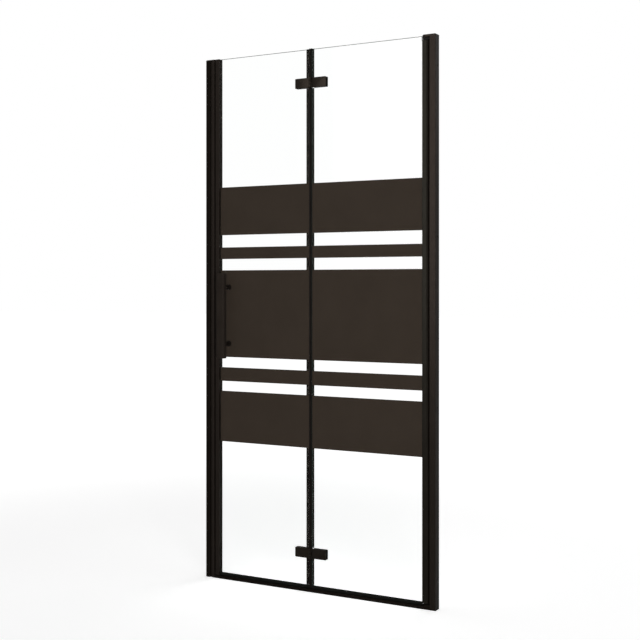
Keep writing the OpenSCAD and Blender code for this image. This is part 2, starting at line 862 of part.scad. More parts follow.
module back_plate() {
    y0 = glass_face + glass_t + pad_t;
    y1 = y0 + back_plate_t;
    difference() {
        plate(pad_x, y0, back_plate_t);
        at_clamps() {
            y_rod(0, 0, y0 - eps, y1 + eps, clamp_screw_d + 2 * hole_fit);
            y_rod(0, 0, y1 - clamp_head_sink, y1 + eps, clamp_head_d + 2 * hole_fit);
            translate([0, y1 - clamp_head_sink + eps, 0]) rotate([90, 0, 0])
                cylinder(d1 = clamp_head_d + 2 * hole_fit, d2 = clamp_screw_d, h = clamp_head_h + hole_fit);
        }
    }
}

// Gasket with two sleeves through the glass, and a plain gasket behind
module clamp_gaskets() {
    sleeve_d = glass_hole_d - 2 * hole_fit;
    bore_d = clamp_screw_d + 0.4;
    inset = 1;
    difference() {
        union() {
            block(pad_x, leaf_l - inset, glass_face - pad_t, glass_face, -leaf_h / 2 + inset, leaf_h / 2 - inset);
            at_clamps() y_rod(0, 0, glass_face - eps, glass_face + glass_t - hole_fit, sleeve_d);
        }
        at_clamps() y_rod(0, 0, glass_face - pad_t - eps, glass_face + glass_t, bore_d);
    }
    difference() {
        block(pad_x, leaf_l - inset, glass_face + glass_t, glass_face + glass_t + pad_t,
              -leaf_h / 2 + inset, leaf_h / 2 - inset);
        at_clamps() y_rod(0, 0, glass_face + glass_t - eps, glass_face + glass_t + pad_t + eps, bore_d);
    }
}

// Countersunk screws driven from the shower side
module clamp_screws() {
    y1 = glass_face + glass_t + pad_t + back_plate_t - clamp_head_sink;
    drive_d = 3;
    drive_depth = 2;
    at_clamps() difference() {
        union() {
            y_rod(0, 0, clamp_bore_y + hole_fit, y1, clamp_screw_d);
            translate([0, y1, 0]) rotate([90, 0, 0])
                cylinder(d1 = clamp_head_d, d2 = clamp_screw_d, h = clamp_head_h);
        }
        translate([0, y1 + eps, 0]) rotate([90, 0, 0]) cylinder(d = drive_d, h = drive_depth, $fn = 6);
    }
}

module at_fold(z) {
    translate([fold_x, fold_y, z]) children();
}

module mirrored_at_fold(z) {
    at_fold(z) mirror([1, 0, 0]) children();
}

module lower_pivot_leaf() {
    color(powder_black) at_fold(hinge_heights[0]) leaf(middle_level);
}

module upper_pivot_leaf() {
    color(powder_black) at_fold(hinge_heights[1]) leaf(middle_level);
}

module lower_fold_leaf() {
    color(powder_black) mirrored_at_fold(hinge_heights[0]) leaf(outer_levels);
}

module upper_fold_leaf() {
    color(powder_black) mirrored_at_fold(hinge_heights[1]) leaf(outer_levels);
}

module lower_pivot_back_plate() {
    color(powder_black) at_fold(hinge_heights[0]) back_plate();
}

module upper_pivot_back_plate() {
    color(powder_black) at_fold(hinge_heights[1]) back_plate();
}

module lower_fold_back_plate() {
    color(powder_black) mirrored_at_fold(hinge_heights[0]) back_plate();
}

module upper_fold_back_plate() {
    color(powder_black) mirrored_at_fold(hinge_heights[1]) back_plate();
}

module pivot_clamp_gaskets() {
    color(seal_black) for (z = hinge_heights) at_fold(z) clamp_gaskets();
}

module fold_clamp_gaskets() {
    color(seal_black) for (z = hinge_heights) mirrored_at_fold(z) clamp_gaskets();
}

module pivot_clamp_screws() {
    color(bright_steel) for (z = hinge_heights) at_fold(z) clamp_screws();
}

module fold_clamp_screws() {
    color(bright_steel) for (z = hinge_heights) mirrored_at_fold(z) clamp_screws();
}

module fold_hinge_pins() {
    color(bright_steel) for (z = hinge_heights)
        at_fold(z - leaf_h / 2 + seat_gap) cylinder(d = hinge_pin_d, h = leaf_h - 2 * seat_gap);
}

// ---- Folding panel ----

module fold_glass() {
    color(glass_tint) difference() {
        block(fold_glass_l, fold_glass_r, -glass_half, glass_half, glass_z, glass_top_z);
        clamp_holes(-1);
        for (z = post_heights) y_rod(handle_x, z, -glass_half - 1, glass_half + 1, glass_hole_d);
    }
}

module fold_privacy_bands() {
    color(band_brown) difference() {
        privacy_bands(edge_in_x + band_seat, fold_glass_r - room_clip_l - band_seat);
        for (z = post_heights)
            y_rod(handle_x, z, -glass_half - 1, -glass_half + 1, handle_washer_d + 2 * hole_fit);
    }
}

// Hollow section with a strip slot on the left and a glazing pocket on the right
module closing_section() {
    half = edge_d / 2;
    cell = 1.6;
    pocket_x = fold_glass_l - gasket_web;
    difference() {
        soft_rect(edge_x, edge_in_x, -half, half, 1.5);
        translate([edge_x, 0]) strip_slot();
        rect(pocket_x, edge_in_x + eps, -pocket_half, pocket_half);
        both_faces()
            rect(edge_x + slot_d + cell, edge_in_x - cell, pocket_half + cell, half - cell);
    }
}

module closing_profile() {
    color(powder_black) upright(glass_z + edge_cap_t, glass_top_z - edge_cap_t) closing_section();
}

module closing_profile_gasket() {
    color(seal_black) upright(glass_z + edge_cap_t, glass_top_z - edge_cap_t)
        translate([fold_glass_l, 0]) glazing_section(glass_bite);
}

// Caps notched round the glass; the lower one reaches down to the level of the bottom seal
module closing_profile_caps() {
    half = edge_d / 2;
    color(powder_black) {
        for (z = [glass_z, glass_top_z - edge_cap_t])
            upright(z, z + edge_cap_t) difference() {
                soft_rect(edge_x, edge_in_x, -half, half, 1.5);
                rect(fold_glass_l - gasket_web, edge_in_x + eps, -glass_half - 0.2, glass_half + 0.2);
            }
        upright(drip_z + cap_rise, glass_z + eps) soft_rect(edge_x, edge_in_x, -half, half, 1.5);
    }
}

module panel_magnet_strip() {
    color(seal_black) upright(glass_z + edge_cap_t, glass_top_z - edge_cap_t)
        translate([edge_x, 0]) strip_section();
}

module fold_bottom_seal() {
    color(seal_black) along(edge_in_x + seat_gap, fold_glass_r - seat_gap) drip_section();
}

// Left half of the centre seal: clip legs on a flat hollow nose
module fold_centre_seal() {
    nose_end = fold_glass_r + seal_nose_w;
    color(seal_black) {
        upright(drip_z, door_h) difference() {
            rect(fold_glass_r, nose_end, -clip_out, clip_out);
            rect(fold_glass_r + bulb_wall, nose_end - bulb_wall, -clip_out + bulb_wall, clip_out - bulb_wall);
        }
        seal_legs(fold_glass_r, -1, fold_clip_l);
    }
}

// ---- Handle ----

module handle_bar() {
    half = handle_w / 2;
    color(powder_black) difference() {
        upright(handle_z - handle_l / 2, handle_z + handle_l / 2)
            soft_rect(handle_x - half, handle_x + half, bar_front_y, bar_back_y, 4);
        for (z = post_heights)
            y_rod(handle_x, z, bar_back_y - stud_seat, bar_back_y + eps, stud_d + 2 * hole_fit);
    }
}

module handle_posts() {
    foot_y = -glass_half - handle_washer_t;
    color(powder_black) for (z = post_heights) difference() {
        union() {
            y_rod(handle_x, z, bar_back_y, foot_y, post_d);
            y_rod(handle_x, z, foot_y - post_foot_t, foot_y, post_foot_d);
        }
        y_rod(handle_x, z, bar_back_y - eps, foot_y + eps, stud_d + 2 * hole_fit);
    }
}

module handle_studs() {
    color(bright_steel) for (z = post_heights)
        y_rod(handle_x, z, bar_back_y - stud_seat + 0.2,
              glass_half + handle_washer_t + cap_nut_h - 2 - 0.2, stud_d);
}

// Outer washer with a sleeve through the glass, and inner washer
module handle_washers() {
    bore_d = stud_d + 2 * hole_fit;
    color(nylon_black) for (z = post_heights) {
        difference() {
            union() {
                y_rod(handle_x, z, -glass_half - handle_washer_t, -glass_half, handle_washer_d);
                y_rod(handle_x, z, -glass_half - eps, glass_half - hole_fit, glass_hole_d - 2 * hole_fit);
            }
            y_rod(handle_x, z, -glass_half - handle_washer_t - eps, glass_half, bore_d);
        }
        difference() {
            y_rod(handle_x, z, glass_half, glass_half + handle_washer_t, handle_washer_d);
            y_rod(handle_x, z, glass_half - eps, glass_half + handle_washer_t + eps, bore_d);
        }
    }
}

// Round nuts with a domed edge and a blind bore
module handle_cap_nuts() {
    dome_r = 3;
    nut_r = post_foot_d / 2;
    color(powder_black) for (z = post_heights)
        translate([handle_x, glass_half + handle_washer_t, z]) rotate([-90, 0, 0]) difference() {
            rotate_extrude() {
                rect(0, nut_r, 0, cap_nut_h - dome_r);
                rect(0, nut_r - dome_r, 0, cap_nut_h);
                translate([nut_r - dome_r, cap_nut_h - dome_r]) intersection() {
                    circle(r = dome_r);
                    rect(-eps, dome_r, -eps, dome_r);
                }
            }
            translate([0, 0, -eps]) cylinder(d = stud_d + 2 * hole_fit, h = cap_nut_h - 2 + eps);
        }
}

wall_channel_left();
wall_channel_right();
strike_jamb();
jamb_magnet_strip();
strike_end_cap();
hinge_jamb();
jamb_bulb_seal();
threshold();
threshold_end_seal();
top_pivot_block();
bottom_pivot_foot();
top_pivot_pin();
bottom_pivot_pin();
thrust_washer();
fixing_screws();
screw_cover_caps();
pivot_stile();
stile_plugs();
stile_gasket();
pivot_glass();
pivot_privacy_bands();
pivot_bottom_seal();
pivot_centre_seal();
upper_pivot_leaf();
lower_pivot_leaf();
upper_pivot_back_plate();
lower_pivot_back_plate();
pivot_clamp_gaskets();
pivot_clamp_screws();
fold_hinge_pins();
fold_glass();
fold_privacy_bands();
closing_profile();
closing_profile_gasket();
closing_profile_caps();
panel_magnet_strip();
fold_bottom_seal();
fold_centre_seal();
upper_fold_leaf();
lower_fold_leaf();
upper_fold_back_plate();
lower_fold_back_plate();
fold_clamp_gaskets();
fold_clamp_screws();
handle_bar();
handle_posts();
handle_studs();
handle_washers();
handle_cap_nuts();
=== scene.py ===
import json
import math
import bmesh
import bpy
import numpy as np
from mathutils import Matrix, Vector
from mathutils.geometry import tessellate_polygon


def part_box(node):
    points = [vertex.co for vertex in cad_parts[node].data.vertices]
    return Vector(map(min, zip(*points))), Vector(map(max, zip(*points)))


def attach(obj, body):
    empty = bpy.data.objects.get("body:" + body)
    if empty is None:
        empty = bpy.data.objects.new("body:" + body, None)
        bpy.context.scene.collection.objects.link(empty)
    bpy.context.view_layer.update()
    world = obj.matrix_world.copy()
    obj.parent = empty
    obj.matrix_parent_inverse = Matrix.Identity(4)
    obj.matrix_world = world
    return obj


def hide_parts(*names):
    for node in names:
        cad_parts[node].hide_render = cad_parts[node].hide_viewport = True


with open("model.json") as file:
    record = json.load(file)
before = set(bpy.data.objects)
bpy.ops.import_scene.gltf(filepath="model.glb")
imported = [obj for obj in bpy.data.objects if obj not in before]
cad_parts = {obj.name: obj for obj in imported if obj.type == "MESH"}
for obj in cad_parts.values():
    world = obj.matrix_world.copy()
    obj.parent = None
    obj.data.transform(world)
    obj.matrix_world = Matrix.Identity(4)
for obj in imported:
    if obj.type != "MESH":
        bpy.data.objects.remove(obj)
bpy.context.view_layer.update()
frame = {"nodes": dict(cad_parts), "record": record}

nodes = frame["nodes"]
mm = 0.001


# how objects and shader nodes are added

plainWhite = (1, 1, 1, 1)


def addObject(name, data):
    made = bpy.data.objects.new(name, data)
    bpy.context.scene.collection.objects.link(made)
    return made


def setSockets(node, values):
    for socket, value in values.items():
        node.inputs[socket].default_value = value


def addNode(tree, kind, values=None):
    node = tree.nodes.new("ShaderNode" + kind)
    setSockets(node, values or {})
    return node


def newFinish(name):
    material = bpy.data.materials.new(name)
    material.use_nodes = True
    tree = material.node_tree
    return material, tree, tree.nodes["Principled BSDF"]


# camera, light and floor

shot = {
    "cameraPlace": (1.8924, -3.3665, 1.045),
    "cameraTilt": 90.0,           # degrees: level, so the door's uprights stay parallel
    "cameraTurn": 29.165,         # degrees from the door's own normal
    "lens": 63.85, "sensorWidth": 36.0, "shiftY": -0.0552,
}
camera = addObject("doorCamera", bpy.data.cameras.new("doorCamera"))
camera.location = shot["cameraPlace"]
camera.rotation_euler = (math.radians(shot["cameraTilt"]), 0, math.radians(shot["cameraTurn"]))
camera.data.sensor_width = shot["sensorWidth"]
camera.data.lens = shot["lens"]
camera.data.shift_y = shot["shiftY"]
bpy.context.scene.camera = camera
bpy.context.scene.view_settings.view_transform = "Standard"

# the sheen card is seen only as a reflection, and the fill lights only what is matt
lamps = {
    "sheenCard": {
        "place": (-0.5, -2.1, 1.65), "aim": (0.3, 0, 1.5),
        "size": (1.0, 2.0), "power": 36, "gives": ("glossy",),
    },
    "fillSoftbox": {
        "place": (6.4, -7.8, 1.3), "aim": (-0.1, 0, 0.8),
        "size": (3.2, 3.2), "power": 690, "gives": ("diffuse",),
    },
    "sideSoftbox": {
        "place": (1.7, -2.3, 2.6), "aim": (0.1, 0, 0.9),
        "size": (1.8, 1.8), "power": 6, "gives": ("glossy", "diffuse"),
    },
    "backSoftbox": {
        "place": (0.6, 2.8, 2.8), "aim": (0, 0, 1.0),
        "size": (2.0, 2.0), "power": 16, "gives": ("glossy", "diffuse"),
    },
}
for name, lamp in lamps.items():
    light = bpy.data.lights.new(name, "AREA")
    light.shape, light.energy = "RECTANGLE", lamp["power"]
    light.size, light.size_y = lamp["size"]
    holder = addObject(name, light)
    holder.location = lamp["place"]
    aim = Vector(lamp["aim"]) - Vector(lamp["place"])
    holder.rotation_euler = aim.to_track_quat("-Z", "Y").to_euler()
    holder.visible_diffuse = "diffuse" in lamp["gives"]
    holder.visible_glossy = "glossy" in lamp["gives"]
    holder.visible_transmission = False    # the glass already lets lamp light through as shadow rays

studio = {
    "lightLevel": 0.22, "white": 1.0,
    "floorReach": 30.0, "floorColour": 0.9, "floorRoughness": 0.9, "floorSheen": 0.0,
    "floorLift": (0.62, 0.86), "liftReach": (1.3, 4.0),
}


def whiteToCamera(tree):
    # one for camera, glossy and transmission rays, else nought
    path = addNode(tree, "LightPath")
    rays = path.outputs["Is Camera Ray"]
    for other in ("Is Glossy Ray", "Is Transmission Ray"):
        both = addNode(tree, "Math")
        both.operation = "MAXIMUM"
        tree.links.new(rays, both.inputs[0])
        tree.links.new(path.outputs[other], both.inputs[1])
        rays = both.outputs[0]
    return rays


world = bpy.data.worlds.new("studioWorld")
bpy.context.scene.world = world
world.use_nodes = True
tree = world.node_tree
tree.nodes.clear()
ambient = addNode(tree, "Background", {"Color": plainWhite, "Strength": studio["lightLevel"]})
backdrop = addNode(tree, "Background", {"Color": plainWhite, "Strength": studio["white"]})
choice = addNode(tree, "MixShader")
skyOut = addNode(tree, "OutputWorld")
tree.links.new(whiteToCamera(tree), choice.inputs[0])
tree.links.new(ambient.outputs[0], choice.inputs[1])
tree.links.new(backdrop.outputs[0], choice.inputs[2])
tree.links.new(choice.outputs[0], skyOut.inputs[0])

reach = studio["floorReach"]
floorCorners = [(-reach, -reach, 0), (reach, -reach, 0), (reach, reach, 0), (-reach, reach, 0)]
floorMesh = bpy.data.meshes.new("studioFloor")
floorMesh.from_pydata(floorCorners, [], [(0, 1, 2, 3)])
floor = addObject("studioFloor", floorMesh)
floorPaint, tree, paint = newFinish("studioFloorPaint")
setSockets(paint, {
    "Base Color": (studio["floorColour"],) * 3 + (1,), "Roughness": studio["floorRoughness"],
    "Specular IOR Level": studio["floorSheen"], "Emission Color": plainWhite,
})
# the floor's own white grows with the distance from the object, where less lamp light arrives
near, far = studio["liftReach"]
weak, strong = studio["floorLift"]
floorPlace = addNode(tree, "TexCoord")
distance = addNode(tree, "VectorMath")
distance.operation = "LENGTH"
growth = addNode(tree, "MapRange", {"From Min": near, "From Max": far, "To Min": weak, "To Max": strong})
growth.interpolation_type = "SMOOTHSTEP"
lift = addNode(tree, "Math")
lift.operation = "MULTIPLY"
tree.links.new(floorPlace.outputs["Object"], distance.inputs[0])
tree.links.new(distance.outputs["Value"], growth.inputs["Value"])
tree.links.new(whiteToCamera(tree), lift.inputs[0])
tree.links.new(growth.outputs["Result"], lift.inputs[1])
tree.links.new(lift.outputs[0], paint.inputs["Emission Strength"])
floorMesh.materials.append(floorPaint)
print("stage: camera, four soft lamps, white world, pale floor")


# finishes: each noise is (grains per metre, levels of detail), each bump is (depth in metres, strength)

# the middle part of a noise, which is spread over a value's range
noiseRange = {"roughness": (0.3, 0.7), "colour": (0.32, 0.68)}
# how a sheen falls off between faces turned to the eye and faces seen nearly edge on
sheenFade = {"blend": 0.5, "start": 0.25, "end": 0.6, "division": 6}


def objectNoise(tree, grains, detail, stretch=(1, 1, 1)):
    # noise over the piece's own place in metres
    place = addNode(tree, "TexCoord")
    mapping = addNode(tree, "Mapping", {"Scale": stretch})
    noise = addNode(tree, "TexNoise", {"Scale": grains, "Detail": detail})
    tree.links.new(place.outputs["Object"], mapping.inputs["Vector"])
    tree.links.new(mapping.outputs["Vector"], noise.inputs["Vector"])
    return noise.outputs["Fac"]


def spread(tree, factor, low, high, target):
    start, end = noiseRange["roughness"]
    span = addNode(tree, "MapRange", {"From Min": start, "From Max": end, "To Min": low, "To Max": high})
    tree.links.new(factor, span.inputs["Value"])
    tree.links.new(span.outputs["Result"], target)


def blendColours(tree, factor, colours, target):
    ramp = addNode(tree, "ValToRGB")
    for stop, place, colour in zip(ramp.color_ramp.elements, noiseRange["colour"], colours):
        stop.position = place
        stop.color = (*colour, 1)
    tree.links.new(factor, ramp.inputs["Fac"])
    tree.links.new(ramp.outputs["Color"], target)


def addBump(tree, shader, height, depth, strength):
    bump = addNode(tree, "Bump", {"Distance": depth, "Strength": strength})
    tree.links.new(height, bump.inputs["Height"])
    tree.links.new(bump.outputs["Normal"], shader.inputs["Normal"])


def addSkin(tree, shader, values, clouding, grain, relief):
    # the clouding drives the colour, the grain the roughness and the relief the bump
    blendColours(tree, clouding, (values["dark"], values["light"]), shader.inputs["Base Color"])
    spread(tree, grain, *values["roughness"], shader.inputs["Roughness"])
    addBump(tree, shader, relief, *values["bump"])


def noiseSkin(tree, shader, values, *keys):
    # the same from three noises of their own, named by their keys
    addSkin(tree, shader, values, *(objectNoise(tree, *values[key]) for key in keys))


def fadingSheen(tree, shader, level):
    # full sheen on faces turned to the eye, a sixth of it on faces seen nearly edge on
    edgeOn = addNode(tree, "LayerWeight", {"Blend": sheenFade["blend"]})
    fade = addNode(tree, "MapRange", {
        "From Min": sheenFade["start"], "From Max": sheenFade["end"],
        "To Min": level, "To Max": level / sheenFade["division"],
    })
    tree.links.new(edgeOn.outputs["Facing"], fade.inputs["Value"])
    tree.links.new(fade.outputs["Result"], shader.inputs["Specular IOR Level"])


# the sheen tint paints a warm colour into the reflection of the powder and the castings
powderValues = {
    "dark": (0.0056, 0.0043, 0.0033), "light": (0.0076, 0.0058, 0.0046), "clouding": (14, 4),
    "roughness": (0.32, 0.40), "wear": (60, 3), "specular": 0.09, "sheenTint": (1.0, 0.80, 0.68),
    "peel": (900, 2), "bump": (0.00004, 0.25),
}
castValues = {**powderValues, "roughness": (0.30, 0.38), "specular": 0.10, "peel": (1400, 2)}


def powderFinish(name, values, **changes):
    # matt powder coating: a warm near-black with slight clouding and a fine orange-peel skin
    material, tree, shader = newFinish(name)
    values = {**values, **changes}
    noiseSkin(tree, shader, values, "clouding", "wear", "peel")
    fadingSheen(tree, shader, values["specular"])
    shader.inputs["Specular Tint"].default_value = (*values["sheenTint"], 1)
    return material


powderBlack = powderFinish("powderBlack", powderValues)
# painted shade: a copy of the powder with less sheen, for the jamb's groove, the threshold, the left channel
# and the foot
powderPaintedShade = powderFinish("powderPaintedShade", powderValues, specular=0.02)
# painted light: a lighter copy of the powder with less sheen, which lifts the handle bar's dim side face
powderHandlePaintedLight = powderFinish(
    "powderHandlePaintedLight", powderValues, specular=0.02,
    dark=(0.0178, 0.0140, 0.0114), light=(0.0228, 0.0182, 0.0148))
# painted shade and painted reflection: a copy of the powder with less sheen and a greener tint in its
# reflection, for the stile
powderStile = powderFinish(
    "powderStile", powderValues, specular=0.066, sheenTint=(0.95, 0.94, 0.78))
hingeBlack = powderFinish(
    "hingeBlack", castValues, dark=(0.0036, 0.0028, 0.0018), light=(0.0047, 0.0037, 0.0024))
castBlack = powderFinish(
    "castBlack", castValues, dark=(0.0068, 0.0053, 0.0042), light=(0.0090, 0.0070, 0.0056))

sealValues = {
    "dark": (0.0048, 0.0050, 0.0040), "light": (0.0078, 0.0080, 0.0064), "clouding": (25, 3),
    "roughness": (0.42, 0.6), "lines": (2500, 2), "drawn": 0.01, "specular": 0.05, "bump": (0.00003, 0.35),
}


def sealFinish(name, along, **changes):
    # soft extruded PVC: fine lines that run the way it was drawn
    material, tree, shader = newFinish(name)
    values = {**sealValues, **changes}
    stretch = [values["drawn"] if axis == along else 1.0 for axis in "xyz"]
    lines = objectNoise(tree, *values["lines"], stretch)
    addSkin(tree, shader, values, objectNoise(tree, *values["clouding"]), lines, lines)
    fadingSheen(tree, shader, values["specular"])
    return material


uprightSeal = sealFinish("uprightSeal", "z")
levelSeal = sealFinish("levelSeal", "x")
foldSealLeft = sealFinish(
    "foldSealLeft", "z", dark=(0.0072, 0.0054, 0.0044), light=(0.0100, 0.0078, 0.0064))

bandValues = {
    "dark": (0.0392, 0.0298, 0.0226), "light": (0.0428, 0.0325, 0.0247), "clouding": (9, 3),
    "roughness": (0.62, 0.72), "grain": (1800, 1), "specular": 0.02, "bump": (0.00001, 0.15),
}


def bandFinish(name, values):
    # printed layer: even and matt, with the faint grain of a screen print
    material, tree, shader = newFinish(name)
    grain = objectNoise(tree, *values["grain"])
    addSkin(tree, shader, values, objectNoise(tree, *values["clouding"]), grain, grain)
    shader.inputs["Specular IOR Level"].default_value = values["specular"]
    return material


bandPrint = bandFinish("bandPrint", bandValues)

glassValues = {
    "ior": 1.5, "roughness": 0.0, "sheenTint": (0.08, 0.07, 0.06), "clearness": 1.0,
    "bodyColour": (0.55, 0.86, 0.74), "bodyDensity": 3.0, "lampTint": (0.97, 0.985, 0.98),
    "rollerWave": (5.0, 1), "bump": (0.0002, 0.05),
}
edgeValues = {
    "dark": (0.0240, 0.0336, 0.0288), "light": (0.030, 0.042, 0.036), "clouding": (300, 3),
    "roughness": (0.35, 0.5), "grain": (1500, 2), "relief": (2500, 2), "bump": (0.00003, 0.3),
    "clearness": 0.08,
}


def setGlass(shader, clearness):
    setSockets(shader, {
        "IOR": glassValues["ior"], "Specular Tint": (*glassValues["sheenTint"], 1),
        "Transmission Weight": clearness,
    })


def lampsPass(tree, shader, tint):
    # shadow rays meet a clear shader instead, so lamps light what is behind the glass
    path = addNode(tree, "LightPath")
    clear = addNode(tree, "BsdfTransparent", {"Color": (*tint, 1)})
    mix = addNode(tree, "MixShader")
    tree.links.new(path.outputs["Is Shadow Ray"], mix.inputs[0])
    tree.links.new(shader.outputs[0], mix.inputs[1])
    tree.links.new(clear.outputs[0], mix.inputs[2])
    tree.links.new(mix.outputs[0], tree.nodes["Material Output"].inputs["Surface"])


def clearGlass(name, values):
    # toughened float glass: clear faces with a faint roller wave, and a green body colour that shows
    # at the edges
    material, tree, shader = newFinish(name)
    setSockets(shader, {"Base Color": plainWhite, "Roughness": values["roughness"]})
    setGlass(shader, values["clearness"])
    addBump(tree, shader, objectNoise(tree, *values["rollerWave"]), *values["bump"])
    colour = (*values["bodyColour"], 1)
    body = addNode(tree, "VolumeAbsorption", {"Color": colour, "Density": values["bodyDensity"]})
    tree.links.new(body.outputs[0], tree.nodes["Material Output"].inputs["Volume"])
    lampsPass(tree, shader, values["lampTint"])
    return material


def groundEdge(name, values):
    # ground glass edge: a matt grey-green that hides the clear body; its darkness is painted shade for the
    # dark line along the pane's edges
    material, tree, shader = newFinish(name)
    noiseSkin(tree, shader, values, "clouding", "grain", "relief")
    setGlass(shader, values["clearness"])
    return material


glassClear = clearGlass("glassClear", glassValues)
glassEdge = groundEdge("glassEdge", edgeValues)

steelValues = {
    "dark": (0.31, 0.32, 0.32), "light": (0.42, 0.43, 0.44), "roughness": (0.22, 0.38),
    "marks": (1200, 3), "drawn": (1, 1, 0.15), "metallic": 1.0, "bump": (0.00002, 0.25),
}


def steelFinish(name, values):
    # turned stainless steel with fine marks
    material, tree, shader = newFinish(name)
    marks = objectNoise(tree, *values["marks"], values["drawn"])
    addSkin(tree, shader, values, marks, marks, marks)
    shader.inputs["Metallic"].default_value = values["metallic"]
    return material


brightSteel = steelFinish("brightSteel", steelValues)

nylonValues = {
    "dark": (0.0040, 0.0035, 0.0030), "light": (0.0060, 0.0052, 0.0046), "clouding": (120, 3),
    "roughness": (0.45, 0.6), "grain": (900, 2), "specular": 0.05,
    "relief": (2200, 2), "bump": (0.00004, 0.3),
}


def nylonFinish(name, values):
    # moulded nylon with a light spark-eroded texture
    material, tree, shader = newFinish(name)
    noiseSkin(tree, shader, values, "clouding", "grain", "relief")
    shader.inputs["Specular IOR Level"].default_value = values["specular"]
    return material


nylonBlack = nylonFinish("nylonBlack", nylonValues)

finishOfSlot = {
    "powder_black": powderBlack, "cast_black": castBlack, "seal_black": uprightSeal,
    "nylon_black": nylonBlack, "bright_steel": brightSteel,
    "clear_glass": glassClear, "band_brown": bandPrint,
}
# seals drawn along the door, and the profiles with less sheen: painted shade in the jamb's groove, low on the
# threshold, on the darker left channel and on the stile
finishOfNode = {
    "threshold_end_seal": levelSeal, "pivot_bottom_seal": levelSeal, "fold_bottom_seal": levelSeal,
    "hinge_jamb": powderPaintedShade, "threshold": powderPaintedShade, "wall_channel_left": powderPaintedShade,
    "pivot_stile": powderStile,
}
for subpart in frame["record"]["subparts"]:
    mesh = nodes[subpart["node"]].data
    mesh.materials.clear()
    mesh.materials.append(finishOfNode.get(subpart["node"], finishOfSlot[subpart["material_slot"]]))
print("finishes:", len(finishOfSlot), "material slots, with variants, on", len(nodes), "CAD nodes")


# outlines: arrays of points in a plane, in millimetres

shortest = 1e-12    # stands for the length of an edge that has none


def rectCorners(x0, x1, y0, y1):
    return [(x0, y0), (x1, y0), (x1, y1), (x0, y1)]


def roundedOutline(corners, radii, steps=5):
    # each corner turns into an arc that touches both its edges: the centre lies on the bisector,
    # radius / sin(half the corner's angle) from the corner, and the arc swings evenly between the points
    # where it touches them
    corner = np.asarray(corners, float)
    radius = np.broadcast_to(np.asarray(radii, float), len(corner))[:, None]
    back = np.roll(corner, 1, 0) - corner
    ahead = np.roll(corner, -1, 0) - corner
    back /= np.linalg.norm(back, axis=1, keepdims=True)
    ahead /= np.linalg.norm(ahead, axis=1, keepdims=True)
    halfAngle = np.arccos(np.clip((back * ahead).sum(1), -1, 1))[:, None] / 2
    bisector = (back + ahead) / np.linalg.norm(back + ahead, axis=1, keepdims=True)
    centre = corner + bisector * radius / np.sin(halfAngle)
    start = corner + back * radius / np.tan(halfAngle) - centre
    end = corner + ahead * radius / np.tan(halfAngle) - centre
    swing = (np.pi - 2 * halfAngle)[:, None]
    t = np.linspace(0, 1, steps)[None, :, None]
    arc = (np.sin((1 - t) * swing) * start[:, None] + np.sin(t * swing) * end[:, None]) / np.sin(swing)
    return (centre[:, None] + arc).reshape(-1, 2)


def circleOutline(u, v, radius, steps=32):
    # radius times (cos, sin) of an even turn about (u, v)
    turn = np.arange(steps) * 2 * np.pi / steps
    return np.stack([u + radius * np.cos(turn), v + radius * np.sin(turn)], 1)


def leftArc(centre, radius, opening=np.pi / 2, steps=25):
    # arc about (centre, 0) on its left side, from the opening's angle above the axis to the same below it
    turn = np.linspace(np.pi - opening, np.pi + opening, steps)
    return np.column_stack([centre + radius * np.cos(turn), radius * np.sin(turn)])


def quarterRound(radius, steps):
    # rise = radius (1 - cos a) and inset = radius (1 - sin a), for angles from nought to a right angle
    turn = np.linspace(0, np.pi / 2, steps)
    return radius * (1 - np.cos(turn)), radius * (1 - np.sin(turn))


def leftOfTravel(outline, wanted):
    # wanted +1 gives a loop that runs anticlockwise, -1 one that runs clockwise, by the sign of its area
    ahead = np.roll(outline, -1, 0)
    area = (outline[:, 0] * ahead[:, 1] - ahead[:, 0] * outline[:, 1]).sum()
    return outline if area * wanted > 0 else outline[::-1]


def movedIn(outline, inset):
    # every edge shifts to its left by the inset, and a point goes where its two shifted edges meet
    edge = np.roll(outline, -1, 0) - outline
    edge /= np.maximum(np.linalg.norm(edge, axis=1, keepdims=True), shortest)
    normal = np.stack([-edge[:, 1], edge[:, 0]], 1)
    before = np.roll(normal, 1, 0)
    return outline + inset * (normal + before) / (1 + (normal * before).sum(1, keepdims=True))


# stations: (place along the path, inset) pairs

def softEnds(low, high, radius, steps=4):
    # a quarter round at each end, straight in between
    rise, inset = quarterRound(radius, steps)
    return np.concatenate([np.stack([low + rise, inset], 1), np.stack([high - rise, inset], 1)[::-1]])


def cutEnds(low, high, cut):
    # a small chamfer at each end
    return [(low, cut), (low + cut, 0), (high - cut, 0), (high, cut)]


def cutFoot(low, high, cut):
    # a small chamfer at the lower end only
    return [(low, cut), (low + cut, 0), (high, 0)]


# parts: (places in millimetres, faces)

axisOrder = {"x": (2, 0, 1), "y": (0, 2, 1), "z": (0, 1, 2)}


def ringQuads(size, rings, first=0):
    # quads between closed rings of points that follow one another in the list of places
    ring = np.arange(size)
    after = np.roll(ring, -1)
    low = first + np.arange(rings - 1)[:, None] * size
    quads = np.stack([low + ring, low + after, low + size + after, low + size + ring], -1)
    return quads.reshape(-1, 4).tolist()


def endFill(loops, index):
    # triangles between an outline and its holes; index holds the numbers of the loops' points
    fill = np.array(tessellate_polygon([[Vector((u, v, 0)) for u, v in loop] for loop in loops]))
    return index[fill].tolist()


